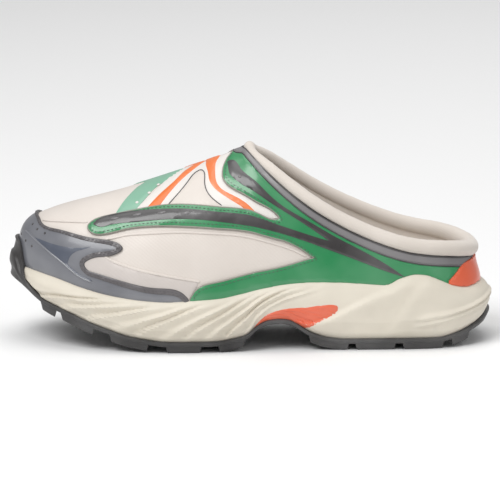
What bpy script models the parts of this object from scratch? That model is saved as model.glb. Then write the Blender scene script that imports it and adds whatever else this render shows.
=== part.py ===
"""Slip-on sneaker for the left foot: a mule-backed running shoe with a low padded collar.

The toe points along -X, the outer (lateral) side faces -Y, and the shoe stands on Z = 0.
Every piece is worked out from the sizes below. Tables hold shares of those sizes.
"""

from collections import namedtuple
import math

import bmesh
import bpy
from mathutils import Vector
from mathutils.geometry import delaunay_2d_cdt
import numpy as np

# Driving sizes, in metres
LENGTH = 0.300
BALL_WIDTH = 0.108
TOE_HEIGHT = 0.0822
INSTEP_HEIGHT = 0.1190
HEEL_HEIGHT = 0.053
RIM_HEIGHT = 0.047
FOOTBED_HEIGHT = 0.030
TOE_SPRING = 0.034
ARCH_RISE = 0.0134
HEEL_BEVEL = 0.012
FEATHER_INSET = 0.007
WALL = 0.0024
CLEARANCE = 0.0003

# Midsole side: its bulge over the bottom edge, its rim's lip and the depth of its relief
SIDE_BULGE = 0.0038
RIM_LIP = 0.0022
RELIEF_DEPTH = 0.0016
RELIEF_FADE = 0.010
RIM_SOFTENING = 0.0009

# Outsole: the plate under the midsole, the lugs below it, and the bumper that wraps the toe
PLATE = 0.0024
LUG_DEPTH = 0.0038
EDGE_INSET = 0.0012
EDGE_ROUND = 0.0022
BUMPER_HEIGHT = 0.021
BUMPER_TUCK = 0.0034
BUMPER_TOP_WALL = 0.0022
BUMPER_LEVELS = (0.14, 0.34, 0.52, 0.70, 0.86, 1.0)
LIP_SHOULDER = 0.45
EDGE_SHARE = 0.3
LIP_HEIGHT = 0.0009
LUG_TAPER = 0.0016
LUG_REACH = 0.019
LUG_SECTIONS = 3
LUG_ROOT = 0.4

# Layers over the upper, the padded roll at its edge and the footbed in it
OVERLAY = 0.0010
COLLAR_ROLL = 0.0076
BAND_WIDTH = 0.0075
BAND_TOP = 0.0008
SEAM = 0.0005
RIM_SEAM = 0.0009
INSOLE = 0.0045
INSOLE_EDGE = 0.0040
INSOLE_DIP = 0.0006
INSERT_DEPTH = 0.0042

# The side view that the panel outlines are drawn on: it looks down a little, as the photograph does.
# Its places are pixels of the photograph: x runs from the toe's to the heel's, y goes down from the floor's.
# The sizes of the drawn shoe, in the same pixels, tie each place to the real sizes.
DRAWN_TOE = 10.0
DRAWN_HEEL = 490.0
DRAWN_FLOOR = 335.5
DRAWN_TILT = math.radians(12.0)
DRAWN_LENGTH = DRAWN_HEEL - DRAWN_TOE
DRAWN_BALL = 172.8
DRAWN_TOE_TOP = 131.5
DRAWN_INSTEP_TOP = 190.4
DRAWN_HEEL_TOP = 84.8
DRAWN_RIM_TOP = 75.2

# Mesh fineness: columns from toe to throat and from throat to heel on each side, and rows up the wall
FORE_COLUMNS = 17
REAR_COLUMNS = 17
RIM_ROWS = 2
WALL_ROWS = 8
OUTLINE_STEP = 0.0055
FILL_STEP = 0.0095
REAR_STEPS = 22
BAND_TURNS = 10

# One row for each section of the last, toe to heel. "along" and the two half widths are the sole's outline,
# "feather" is how far inside it the upper starts. The top columns are where the section ends: on the ridge of
# the vamp as far as the throat, and on the collar's edge behind it. The last four shape the section's curve.
Section = namedtuple(
    "Section",
    "along lateral medial feather top_along top_lateral top_medial top_rise rise swell flat steep",
)
SECTIONS = [
    Section(0.000, -0.050, 0.050, 0.93, 0.113, -0.055, 0.055, 0.000, 0.74, 0.25, 0.92, 0.00),
    Section(0.020, 0.135, 0.235, 0.95, 0.117, -0.055, 0.055, 0.010, 0.72, 0.28, 0.89, 0.00),
    Section(0.065, 0.285, 0.365, 1.00, 0.131, -0.054, 0.054, 0.045, 0.67, 0.30, 0.82, 0.00),
    Section(0.130, 0.395, 0.435, 1.00, 0.164, -0.052, 0.052, 0.120, 0.60, 0.32, 0.74, 0.00),
    Section(0.210, 0.465, 0.475, 0.95, 0.224, -0.050, 0.050, 0.250, 0.53, 0.35, 0.66, 0.00),
    Section(0.300, 0.500, 0.488, 0.90, 0.304, -0.046, 0.046, 0.455, 0.47, 0.35, 0.60, 0.00),
    Section(0.390, 0.500, 0.462, 0.90, 0.390, -0.040, 0.040, 0.700, 0.42, 0.30, 0.53, 0.00),
    Section(0.480, 0.473, 0.418, 0.90, 0.489, -0.032, 0.032, 1.000, 0.37, 0.25, 0.44, 0.03),
    Section(0.570, 0.442, 0.387, 0.92, 0.543, 0.165, 0.205, 0.800, 0.34, 0.20, 0.34, 0.16),
    Section(0.660, 0.422, 0.372, 0.95, 0.635, 0.275, 0.295, 0.500, 0.34, 0.20, 0.15, 0.32),
    Section(0.750, 0.412, 0.375, 0.97, 0.737, 0.318, 0.325, 0.263, 0.35, 0.25, 0.06, 0.34),
    Section(0.840, 0.398, 0.378, 1.00, 0.830, 0.317, 0.317, 0.120, 0.35, 0.30, 0.05, 0.34),
    Section(0.920, 0.352, 0.345, 1.05, 0.903, 0.262, 0.262, 0.067, 0.35, 0.32, 0.05, 0.34),
    Section(0.975, 0.233, 0.233, 1.15, 0.946, 0.150, 0.150, 0.026, 0.35, 0.34, 0.05, 0.34),
    Section(1.000, 0.000, 0.000, 1.22, 0.9617, 0.000, 0.000, 0.000, 0.35, 0.35, 0.05, 0.34),
]
THROAT_ROW = 7

# Heights along the shoe: the share of the length, then the share of the size named beside each table
Height = namedtuple("Height", "along share")
TOE_LIFT = [  # of TOE_SPRING
    Height(0.0, 1.0), Height(0.02, 0.95), Height(0.035, 0.87), Height(0.052, 0.76), Height(0.072, 0.65),
    Height(0.105, 0.54), Height(0.129, 0.46), Height(0.162, 0.34), Height(0.208, 0.205), Height(0.245, 0.105),
    Height(0.292, 0.035), Height(0.33, 0.0),
]
ARCH_LIFT = [  # of ARCH_RISE
    Height(0.42, 0.0), Height(0.47, 0.14), Height(0.495, 0.30), Height(0.515, 0.70), Height(0.54, 0.96),
    Height(0.56, 1.0), Height(0.58, 0.95), Height(0.60, 0.74), Height(0.625, 0.37), Height(0.66, 0.10),
    Height(0.70, 0.0),
]
HEEL_LIFT = [  # of HEEL_BEVEL
    Height(0.89, 0.0), Height(0.93, 0.19), Height(0.965, 0.48), Height(0.985, 0.70), Height(1.0, 1.0),
]
RIM = [  # of RIM_HEIGHT
    Height(0.02, 0.98), Height(0.08, 0.935), Height(0.145, 0.83), Height(0.21, 0.745), Height(0.28, 0.69),
    Height(0.33, 0.675), Height(0.38, 0.695), Height(0.44, 0.72), Height(0.48, 0.77), Height(0.53, 0.84),
    Height(0.58, 0.89), Height(0.63, 0.908), Height(0.70, 0.90), Height(0.765, 0.872), Height(0.783, 0.868),
    Height(0.815, 0.955), Height(0.85, 1.0), Height(0.87, 0.985), Height(0.90, 0.91), Height(0.93, 0.83),
    Height(0.965, 0.79), Height(1.0, 0.80),
]
CUP_FLOOR = [  # of FOOTBED_HEIGHT
    Height(0.0, 1.45), Height(0.025, 1.41), Height(0.06, 1.24), Height(0.10, 1.12), Height(0.17, 0.95),
    Height(0.23, 0.83), Height(0.30, 0.75), Height(0.37, 0.72), Height(0.45, 0.77), Height(0.52, 0.88),
    Height(0.58, 0.96), Height(0.66, 1.0), Height(1.0, 1.0),
]
BUMPER = [  # of BUMPER_HEIGHT, over LIP_HEIGHT
    Height(0.0, 1.0), Height(0.006, 0.97), Height(0.0115, 0.82), Height(0.017, 0.47), Height(0.024, 0.22),
    Height(0.036, 0.04), Height(0.052, 0.0),
]
TUCK = [  # of BUMPER_TUCK: how far the midsole draws in behind the bumper
    Height(0.0, 1.0), Height(0.012, 0.95), Height(0.035, 0.45), Height(0.07, 0.0),
]
EDGE = [  # of EDGE_INSET: how far the outsole's edge lies inside the outline
    Height(0.0, 0.0), Height(0.04, 0.35), Height(0.10, 1.0), Height(0.93, 1.0), Height(1.0, 0.15),
]

# The midsole's side, bottom edge to rim: share of the side's height, share of SIDE_BULGE drawn in
SIDE = [Height(0.0, 1.0), Height(0.14, 0.42), Height(0.34, 0.06), Height(0.60, 0.14)]
SIDE_LEVELS = (0.0, 0.14, 0.34, 0.52, 0.70, 0.86)
SIDE_TURN = 0.60

# Flame ridges of the forefoot's side: where each meets the bottom edge, as a share of the length
FLAMES = (0.020, 0.105, 0.220, 0.323, 0.407, 0.455, 0.520)
FLAME_SWEEP = 0.165
FLAME_CURVE = 1.8
FLAME_END = 0.50
# The heel wing's front edge: its place at the rim, and how far it runs forward down to the bottom edge
WING_TOP = 0.783
WING_RUN = 0.215
WING_CREASE = 0.775
WING_CREASE_RUN = 0.14

# The arch inserts' outline on the midsole's side: share of the length, share of the side's height
ARCH_INSERT = [
    (0.500, 0.00), (0.5195, 0.16), (0.540, 0.29), (0.567, 0.37), (0.600, 0.48), (0.633, 0.60),
    (0.660, 0.65), (0.679, 0.67), (0.688, 0.62), (0.688, 0.55), (0.682, 0.47), (0.660, 0.36),
    (0.640, 0.23), (0.620, 0.10), (0.612, 0.00),
]

# Lugs along each edge: start and end as shares of the length
LUGS = [
    (0.062, 0.098), (0.105, 0.178), (0.208, 0.292), (0.325, 0.402), (0.434, 0.492),
    (0.620, 0.706), (0.716, 0.803), (0.814, 0.904), (0.918, 0.960),
]
CENTRE_LUGS = [
    (0.075, 0.120), (0.150, 0.205), (0.235, 0.290), (0.320, 0.375), (0.405, 0.455),
    (0.660, 0.715), (0.745, 0.800), (0.830, 0.885),
]
CENTRE_LUG_WIDTH = 0.016
CENTRE_LUG_PITCH = 0.023

# Panel outlines in the side view, as strokes that meet at corners, in pixels of the photograph
TOE_CAP = [
    [(20, 222), (41, 219), (44, 225), (60.6, 230), (87.7, 237.2), (113.2, 241.5), (121.5, 245.2),
     (123.6, 248.4), (121, 251.3), (98.9, 256.3), (89.3, 259.5), (85.3, 264.3), (87.7, 269.1), (95.7, 273.1),
     (127.6, 282.6), (159.4, 288.7), (183.4, 293.8), (189.5, 300)],
]
CAGE = [
    [(233.9, 148.7), (228.7, 156), (224.5, 164), (222.7, 172), (223.4, 178.5), (228, 184.8), (239.2, 191.8),
     (259.2, 203.4), (273.9, 212.3), (278.6, 216.6), (276, 219.9), (262.4, 216), (236, 208.7), (202.4, 205.5),
     (161.6, 205.5), (137.1, 209.6), (110.6, 215.2), (93.3, 221.3), (89.2, 226.5), (93.3, 232.6),
     (105.5, 233.9), (125.9, 229.2), (161.6, 226), (202.4, 227.6), (236, 230), (272.9, 238.1),
     (299.2, 248.1), (313.5, 257.8)],
    [(313.5, 257.8), (281.9, 266.7), (250, 273.6), (215.2, 282.6), (196.1, 290.6), (190.5, 299.5)],
]
HEEL_PIECE = [(471.2, 250.5), (463, 262.5), (455, 272), (446.5, 281)]
SIDES = (("lateral", 1.0), ("medial", -1.0))

# Colour, roughness and metallic value of each material
FINISHES = {
    "black_rubber": ((0.030, 0.030, 0.032), 0.55, 0.0),
    "cream_foam": ((0.76, 0.71, 0.62), 0.60, 0.0),
    "orange_plastic": ((0.90, 0.16, 0.05), 0.35, 0.0),
    "cream_upper": ((0.74, 0.69, 0.63), 0.50, 0.0),
    "grey_cap": ((0.20, 0.21, 0.26), 0.35, 0.0),
    "green_film": ((0.02, 0.36, 0.13), 0.30, 0.0),
    "grey_band": ((0.26, 0.26, 0.28), 0.40, 0.0),
    "cream_lining": ((0.74, 0.69, 0.62), 0.80, 0.0),
}


# Curves through table rows

def cubic(knots, values, period=None):
    """A smooth curve through values at knots: closed with a period, or free at both ends without one."""
    t = np.asarray(knots, float)
    y = np.asarray(values, float).reshape(len(t), -1)
    if period:
        t = np.append(t, t[0] + period)
        y = np.vstack([y, y[:1]])
    n = len(t)
    h = np.diff(t)
    slope = np.diff(y, axis=0) / h[:, None]
    matrix = np.zeros((n, n))
    right = np.zeros((n, y.shape[1]))
    for i in range(1, n - 1):
        matrix[i, i - 1:i + 2] = h[i - 1], 2 * (h[i - 1] + h[i]), h[i]
        right[i] = 6 * (slope[i] - slope[i - 1])
    if period:
        matrix[0, 0], matrix[0, 1], matrix[0, n - 2] = 2 * (h[-1] + h[0]), h[0], h[-1]
        right[0] = 6 * (slope[0] - slope[-1])
        matrix[-1, 0], matrix[-1, -1] = -1.0, 1.0
    else:
        matrix[0, 0] = matrix[-1, -1] = 1.0
    bend = np.linalg.solve(matrix, right)

    def curve(u):
        u = np.asarray(u, float)
        if period:
            u = t[0] + np.mod(u - t[0], period)
        i = np.clip(np.searchsorted(t, u, side="right") - 1, 0, n - 2)
        a = (t[i + 1] - u) / h[i]
        b = 1 - a
        step = (h[i] ** 2 / 6)[..., None]
        return (a[..., None] * y[i] + b[..., None] * y[i + 1]
                + ((a ** 3 - a)[..., None] * bend[i] + (b ** 3 - b)[..., None] * bend[i + 1]) * step)

    return curve


def height_at(table, size, x):
    """The height that a table of shares of one size gives at x, with no overshoot between its rows."""
    at = np.array([row.along for row in table])
    value = np.array([row.share for row in table])
    step = np.diff(at)
    slope = np.diff(value) / step
    tangent = np.zeros(len(at))
    for i in range(1, len(at) - 1):
        if slope[i - 1] * slope[i] > 0:
            w1, w2 = 2 * step[i] + step[i - 1], step[i] + 2 * step[i - 1]
            tangent[i] = (w1 + w2) / (w1 / slope[i - 1] + w2 / slope[i])
    share = np.clip(np.asarray(x, float) / LENGTH + 0.5, at[0], at[-1])
    i = np.clip(np.searchsorted(at, share, side="right") - 1, 0, len(at) - 2)
    f = (share - at[i]) / step[i]
    return size * (value[i] * (1 + 2 * f) * (1 - f) ** 2 + tangent[i] * step[i] * f * (1 - f) ** 2
                   + value[i + 1] * f * f * (3 - 2 * f) + tangent[i + 1] * step[i] * f * f * (f - 1))


def smooth(f):
    f = np.clip(f, 0.0, 1.0)
    return f * f * (3 - 2 * f)


def unit(vectors):
    return vectors / np.maximum(np.linalg.norm(vectors, axis=-1, keepdims=True), 1e-12)


# The last: v runs round the shoe, 0 at the toe, 0 to 1 up the lateral side, 1 at the heel, 2 back at the toe

def around(pick_lateral, pick_medial):
    """Values of the rows down the lateral side, then back up the medial side."""
    return ([pick_lateral(row) for row in SECTIONS]
            + [pick_medial(row) for row in reversed(SECTIONS[1:-1])])


def plan(row, side):
    half = -row.lateral if side > 0 else row.medial
    return ((row.along - 0.5) * LENGTH, half * BALL_WIDTH)


def row_knots():
    """The rows' places round the shoe, by the mean of the two sides' lengths."""
    travelled = [0.0]
    for a, b in zip(SECTIONS, SECTIONS[1:]):
        steps = [math.dist(plan(a, side), plan(b, side)) for side in (1, -1)]
        travelled.append(travelled[-1] + sum(steps) / 2)
    side = np.array(travelled) / travelled[-1]
    return np.concatenate([side, 2 - side[1:-1][::-1]])


KNOTS = row_knots()
THROAT = float(KNOTS[THROAT_ROW])
OUTLINE = cubic(KNOTS, around(lambda r: plan(r, 1), lambda r: plan(r, -1)), 2.0)
SHAPE = cubic(KNOTS, around(*[lambda r: (r.feather, r.rise, r.swell, r.flat, r.steep)] * 2), 2.0)


def rise_of(row, toe, instep, heel):
    """The height of a section's end, from the heights of toe, instep and heel."""
    low = toe if SECTIONS.index(row) < THROAT_ROW else heel
    return low + row.top_rise * (instep - low)


def top_of(row, side):
    half = -row.top_lateral if side > 0 else row.top_medial
    return ((row.top_along - 0.5) * LENGTH, half * BALL_WIDTH,
            rise_of(row, TOE_HEIGHT, INSTEP_HEIGHT, HEEL_HEIGHT))


def drawn_top_of(row):
    return rise_of(row, DRAWN_TOE_TOP, DRAWN_INSTEP_TOP, DRAWN_HEEL_TOP)


FORE_ROWS = SECTIONS[:THROAT_ROW + 1]
REAR_ROWS = SECTIONS[THROAT_ROW:]
BACK_AGAIN = REAR_ROWS[-2:0:-1]
COLLAR_KNOTS = KNOTS[(KNOTS >= THROAT) & (KNOTS < 2 - THROAT - 1e-9)]
COLLAR_TURN = 2 - 2 * THROAT
RIDGE = cubic(KNOTS[:THROAT_ROW + 1], [top_of(r, 1) for r in FORE_ROWS])
COLLAR = cubic(COLLAR_KNOTS, [top_of(r, 1) for r in REAR_ROWS] + [top_of(r, -1) for r in BACK_AGAIN], COLLAR_TURN)
DRAWN_RIDGE = cubic(KNOTS[:THROAT_ROW + 1], [drawn_top_of(r) for r in FORE_ROWS])
DRAWN_COLLAR = cubic(COLLAR_KNOTS, [drawn_top_of(r) for r in REAR_ROWS + BACK_AGAIN], COLLAR_TURN)


def middle_of_outline():
    """The outline's own middle across, so that the shoe stands centred on its origin."""
    y = OUTLINE(np.linspace(0, 2, 721))[:, 1]
    return (y.max() + y.min()) / 2


MIDDLE = middle_of_outline()


def outline(v):
    """The sole's outline in plan."""
    return OUTLINE(v) - (0.0, MIDDLE)


def outward(v):
    """The unit direction out of the outline, in plan, with a zero height."""
    step = 1e-4
    d = OUTLINE(v + step) - OUTLINE(v - step)
    return unit(np.stack([d[..., 1], -d[..., 0], np.zeros(d.shape[:-1])], axis=-1))


def side_place(v):
    return np.minimum(np.mod(v, 2), 2 - np.mod(v, 2))


def along_top(v, ridge, collar):
    """A value at v from a curve along the vamp's ridge, or from one round the collar behind the throat."""
    u = side_place(v)
    return np.where((u <= THROAT)[..., None], ridge(np.minimum(u, THROAT)), collar(np.mod(v, 2)))


def top(v):
    """Where the section at v ends: on the vamp's ridge, or on the collar's edge behind the throat."""
    return along_top(v, RIDGE, COLLAR) - (0.0, MIDDLE, 0.0)


def ridge_slope(v):
    """Rise of the ridge for each step back along it, fading out behind the throat."""
    u = np.clip(side_place(v), 0.0, THROAT)
    step = 1e-3
    d = RIDGE(np.minimum(u + step, THROAT)) - RIDGE(np.maximum(u - step, 0.0))
    fade = 1 - smooth((side_place(v) - THROAT) / (KNOTS[THROAT_ROW + 1] - THROAT))
    return d[..., 2] / np.maximum(d[..., 0], 1e-9) * fade


def cup_floor(x):
    return height_at(CUP_FLOOR, FOOTBED_HEIGHT, x)


def rim_height(x):
    return height_at(RIM, RIM_HEIGHT, x)


def ground(x):
    """The lugs' underside."""
    return (height_at(TOE_LIFT, TOE_SPRING, x) + height_at(ARCH_LIFT, ARCH_RISE, x)
            + height_at(HEEL_LIFT, HEEL_BEVEL, x))


def base_height(x):
    """The midsole's underside."""
    return ground(x) + LUG_DEPTH + PLATE


def with_height(flat, z):
    return np.stack([flat[..., 0], flat[..., 1], np.broadcast_to(z, flat.shape[:-1])], axis=-1)


def surface(v, s):
    """The upper's outer surface: s is 0 at the feather line and 1 at the ridge or the collar's edge.

    Past s = 1 the surface goes on down the other side of the ridge.
    """
    v, s = np.broadcast_arrays(np.asarray(v, float), np.asarray(s, float))
    over = s > 1
    v = np.where(over, -v, v)
    s = np.where(over, 2 - s, s)
    feather, rise, swell, flat, steep = np.moveaxis(SHAPE(v), -1, 0)
    out = outward(v)
    start = with_height(outline(v), 0.0) - out * (feather * FEATHER_INSET)[..., None]
    start[..., 2] = cup_floor(start[..., 0]) + CLEARANCE
    end = top(v)
    tall = (end - start)[..., 2]
    up = np.array([0.0, 0.0, 1.0])
    first = start + up * (rise * tall)[..., None] + out * (swell * FEATHER_INSET)[..., None]
    run = (start - end) * (1.0, 1.0, 0.0) * flat[..., None]
    last = end + run + up * (ridge_slope(v) * run[..., 0] - steep * tall)[..., None]
    s = s[..., None]
    r = 1 - s
    return r ** 3 * start + 3 * r * r * s * first + 3 * r * s * s * last + s ** 3 * end


def normal(v, s):
    """The unit normal out of the upper's surface. The two sides of the ridge share one."""
    step = 1e-4
    v, s = np.broadcast_arrays(np.asarray(v, float), np.asarray(s, float))
    over = s > 1
    v = np.where(over, -v, v)
    s = np.clip(np.where(over, 2 - s, s), step, 0.999)

    def one_side(w):
        return unit(np.cross(surface(w + step, s) - surface(w - step, s),
                             surface(w, s + step) - surface(w, s - step)))

    at_ridge = ((s >= 0.999) & (side_place(v) <= THROAT))[..., None]
    own = one_side(v)
    return np.where(at_ridge, unit(own + one_side(-v)), own)


def skin(v, s, offset):
    """The surface moved out along its normal by an offset."""
    return surface(v, s) + normal(v, s) * offset


def place_at_height(v, z):
    """The s at which the surface passes height z."""
    low, high = np.zeros_like(v), np.ones_like(v)
    for _ in range(40):
        middle = (low + high) / 2
        above = surface(v, middle)[..., 2] > z
        high = np.where(above, middle, high)
        low = np.where(above, low, middle)
    return (low + high) / 2


def columns():
    """The places round the shoe where pieces have their vertices, closer at toe, throat and heel."""
    def eased(count):
        f = np.arange(count) / count
        return f - 0.35 * np.sin(2 * math.pi * f) / (2 * math.pi)

    side = np.concatenate([THROAT * eased(FORE_COLUMNS), THROAT + (1 - THROAT) * eased(REAR_COLUMNS), [1.0]])
    return np.concatenate([side, 2 - side[1:-1][::-1]])


V = columns()
SIDE_COUNT = FORE_COLUMNS + REAR_COLUMNS
RIM_S = place_at_height(V, rim_height(outline(V)[:, 0]))


# Objects

def material(name):
    colour, roughness, metallic = FINISHES[name]
    made = bpy.data.materials.get(name) or bpy.data.materials.new(name)
    made.use_nodes = True
    shader = made.node_tree.nodes["Principled BSDF"]
    shader.inputs["Base Color"].default_value = (*colour, 1.0)
    shader.inputs["Roughness"].default_value = roughness
    shader.inputs["Metallic"].default_value = metallic
    return made


def make_object(name, points, faces, finish, sharp=math.radians(40)):
    mesh = bpy.data.meshes.new(name)
    mesh.from_pydata([tuple(p) for p in points], [], [tuple(f) for f in faces])
    shape = bmesh.new()
    shape.from_mesh(mesh)
    bmesh.ops.remove_doubles(shape, verts=shape.verts, dist=1e-6)
    bmesh.ops.dissolve_degenerate(shape, edges=shape.edges, dist=1e-6)
    bmesh.ops.triangulate(shape, faces=[f for f in shape.faces if len(f.verts) > 3])
    bmesh.ops.recalc_face_normals(shape, faces=shape.faces)
    shape.to_mesh(mesh)
    shape.free()
    mesh.shade_smooth()
    mesh.set_sharp_from_angle(angle=sharp)
    mesh.materials.append(material(finish))
    made = bpy.data.objects.new(name, mesh)
    bpy.context.scene.collection.objects.link(made)
    return made


def as_cutter(cutter):
    cutter.hide_render = True
    cutter.display_type = "WIRE"
    return cutter


def boolean(target, operation, cutter):
    modifier = target.modifiers.new(operation.lower(), "BOOLEAN")
    modifier.operation = operation
    modifier.object = as_cutter(cutter)


def ring_solid(name, rings, finish, first_cap=True, last_cap=True, close=False):
    """A solid from loops of points round the shoe, each with len(V) points, capped across from side to side."""
    count = len(V)
    points = np.concatenate(rings)
    faces = []
    pairs = list(zip(range(len(rings)), range(1, len(rings))))
    if close:
        pairs.append((len(rings) - 1, 0))
    for a, b in pairs:
        for i in range(count):
            j = (i + 1) % count
            faces.append((a * count + i, a * count + j, b * count + j, b * count + i))
    for wanted, ring in ((first_cap, 0), (last_cap, len(rings) - 1)):
        if wanted:
            faces += cap_faces(ring * count, count)
    return make_object(name, points, faces, finish)


def cap_faces(start, count):
    """Strips across a loop, from each lateral point to the medial point beside it."""
    half = count // 2
    faces = [(start, start + 1, start + count - 1)]
    for i in range(1, half - 1):
        faces.append((start + i, start + i + 1, start + count - i - 1, start + count - i))
    faces.append((start + half - 1, start + half, start + half + 1))
    return faces


# Upper

def upper_levels():
    """s for each column and row: rows under the midsole's rim, then rows up to the ridge or the edge."""
    below = [RIM_S * k / RIM_ROWS for k in range(RIM_ROWS)]
    above = [RIM_S + (1 - RIM_S) * k / WALL_ROWS for k in range(WALL_ROWS + 1)]
    return np.array(below + above)


def make_upper():
    """One hollow shell: outer and inner skins joined at the feather line and at the collar's edge."""
    levels = upper_levels()
    rows, count = levels.shape
    outer = np.array([surface(V, s) for s in levels])
    inner = np.array([skin(V, s, -WALL) for s in levels])
    inner[0, :, 2] = outer[0, :, 2]

    def spot(layer, row, column):
        column %= count
        if row == rows - 1 and (column <= FORE_COLUMNS or column >= count - FORE_COLUMNS):
            column = min(column, count - column) % count
        return (layer * rows + row) * count + column

    faces = []
    for row in range(rows - 1):
        for i in range(count):
            faces.append([spot(0, *p) for p in ((row, i), (row, i + 1), (row + 1, i + 1), (row + 1, i))])
            faces.append([spot(1, *p) for p in ((row, i), (row + 1, i), (row + 1, i + 1), (row, i + 1))])
    for i in range(count):
        faces.append([spot(0, 0, i), spot(1, 0, i), spot(1, 0, i + 1), spot(0, 0, i + 1)])
    for i in range(FORE_COLUMNS, count - FORE_COLUMNS):
        edge = rows - 1
        faces.append([spot(0, edge, i), spot(0, edge, i + 1), spot(1, edge, i + 1), spot(1, edge, i)])
    points = np.concatenate([outer.reshape(-1, 3), inner.reshape(-1, 3)])
    used = sorted({p for face in faces for p in face})
    renumber = {p: i for i, p in enumerate(used)}
    return make_object("upper", points[used], [[renumber[p] for p in face] for face in faces], "cream_upper")


# Midsole

def relief(x, f, side_height):
    """How far the midsole's side stands out or in at x and the share f of its height: flames and heel wing."""
    share = x / LENGTH + 0.5
    phase = share - FLAME_SWEEP * np.clip(f, 0, 1) ** FLAME_CURVE
    starts = np.array(FLAMES)
    i = np.clip(np.searchsorted(starts, phase, side="right") - 1, 0, len(starts) - 2)
    f_in = np.clip((phase - starts[i]) / (starts[i + 1] - starts[i]), 0, 1)
    wave = np.where(f_in < 0.82, 1 - f_in / 0.82, (f_in - 0.82) / 0.18)
    inside = smooth((phase - starts[0]) / 0.03) * smooth((starts[-1] - phase) / 0.05)
    fade = smooth(f / 0.25) * smooth((1.0 - f) / 0.22)
    flames = (smooth(wave) - 0.5) * inside * fade
    edge = WING_TOP - WING_RUN * (1 - f)
    step_up = smooth((share - edge) / 0.022)
    slope_off = smooth((share - edge - 0.01) / 0.12)
    crease = WING_CREASE + WING_CREASE_RUN * f
    fold = smooth((share - crease + 0.03) / 0.03) * (1 - smooth((share - crease) / 0.05))
    wing = (0.9 * step_up - 0.75 * slope_off + 0.35 * fold) * smooth(f / 0.15) * smooth((1.04 - f) / 0.20)
    return RELIEF_DEPTH * (flames + wing * smooth(side_height / RELIEF_FADE - 1))


def rim_outer(v, s):
    """The outer edge of the lip that cups the upper."""
    return skin(v, s, CLEARANCE + RIM_LIP)


def midsole_side(v, f, rim_s):
    """The midsole's side at the share f of its height from the bottom edge to the rim."""
    edge = with_height(outline(v), 0.0)
    out = outward(v)
    x = edge[..., 0]
    low, high = base_height(x), rim_height(x) - RIM_SOFTENING
    bulge = np.interp(f, [row.along for row in SIDE], [row.share for row in SIDE]) * SIDE_BULGE
    lip = rim_outer(v, rim_s)
    lip_inset = ((edge - lip) * out * (1, 1, 0)).sum(axis=-1)
    turned = np.clip((f - SIDE_TURN) / (1 - SIDE_TURN), 0, 1) ** 2
    tuck = height_at(TUCK, BUMPER_TUCK, x)
    inset = (bulge + tuck) * (1 - turned) + np.maximum(lip_inset, 0.0) * turned
    place = edge - out * (inset - relief(x, f, high - low))[..., None]
    place[..., 2] = low + f * (high - low)
    return place


def midsole_rings():
    """Bottom edge, side, rim, then down the inside of the rim to the edge of the cup's floor."""
    rings = [midsole_side(V, f, RIM_S) for f in SIDE_LEVELS]
    outer = rim_outer(V, RIM_S)
    outer[:, 2] = rim_height(outline(V)[:, 0]) - RIM_SOFTENING
    rings.append(outer)
    for k in range(RIM_ROWS, -1, -1):
        rings.append(skin(V, RIM_S * k / RIM_ROWS, CLEARANCE))
    rings[-1][:, 2] = surface(V, np.zeros_like(V))[:, 2] - CLEARANCE
    return rings


def side_at(x, lateral):
    """v on one side for places along the shoe."""
    v = np.linspace(0, 1, 801) if lateral else 2 - np.linspace(0, 1, 801)
    return np.interp(np.asarray(x, float), outline(v)[:, 0], v)


def grown(loop, margin):
    """A closed loop, run anticlockwise, moved out along its own normals."""
    ahead, behind = np.roll(loop, -1, axis=0), np.roll(loop, 1, axis=0)
    before, after = unit(loop - behind), unit(ahead - loop)
    turn = unit(before + after)
    out = np.stack([turn[:, 1], -turn[:, 0]], axis=-1)
    stretch = 1 / np.maximum((turn * before).sum(axis=-1), 0.5)
    return loop + out * (margin * stretch)[:, None]


def insert_solid(name, side, grow, deep, proud, finish):
    """A block let into the midsole's side, with the arch insert's outline grown by a margin."""
    lateral = side > 0
    size = np.array([LENGTH, RIM_HEIGHT])
    loop = resampled(np.array(ARCH_INSERT) * size, OUTLINE_STEP, closed=False)
    floor = 0.0 if grow else 6 * CLEARANCE
    for end in (0, -1):
        step = (loop[1] - loop[0]) if end == 0 else (loop[-2] - loop[-1])
        loop[end] = loop[end] + step * (floor / step[1])
    floor_steps = max(2, int(round((loop[-1, 0] - loop[0, 0]) / OUTLINE_STEP)))
    floor_line = [loop[-1] + (loop[0] - loop[-1]) * k / floor_steps for k in range(1, floor_steps)]
    loop = np.vstack([loop, floor_line])[::-1]
    if grow:
        on_floor = loop[:, 1] < 1e-6
        loop = grown(loop, grow)
        loop[on_floor, 1] = -0.02 * RIM_HEIGHT
    loop = loop / size

    def place(q, offset):
        v = side_at((q[:, 0] - 0.5) * LENGTH, lateral)
        f = q[:, 1]
        rim_s = np.interp(np.mod(v, 2), V, RIM_S)
        point = midsole_side(v, np.maximum(f, 0.0), rim_s) + outward(v) * offset
        point[:, 2] += np.minimum(f, 0.0) * RIM_HEIGHT
        return point

    return panel_solid(name, loop, place, -deep, proud, finish, scale=(LENGTH, RIM_HEIGHT))


def make_midsole():
    body = ring_solid("midsole", midsole_rings(), "cream_foam")
    for side_name, side in SIDES:
        pocket = insert_solid("pocket_" + side_name, side, 3 * CLEARANCE, INSERT_DEPTH + 3 * CLEARANCE,
                              4 * RELIEF_DEPTH, "cream_foam")
        boolean(body, "DIFFERENCE", pocket)
        insert_solid("arch_insert_" + side_name, side, 0.0, INSERT_DEPTH, 0.0, "orange_plastic")
    return body


# Outsole

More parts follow.
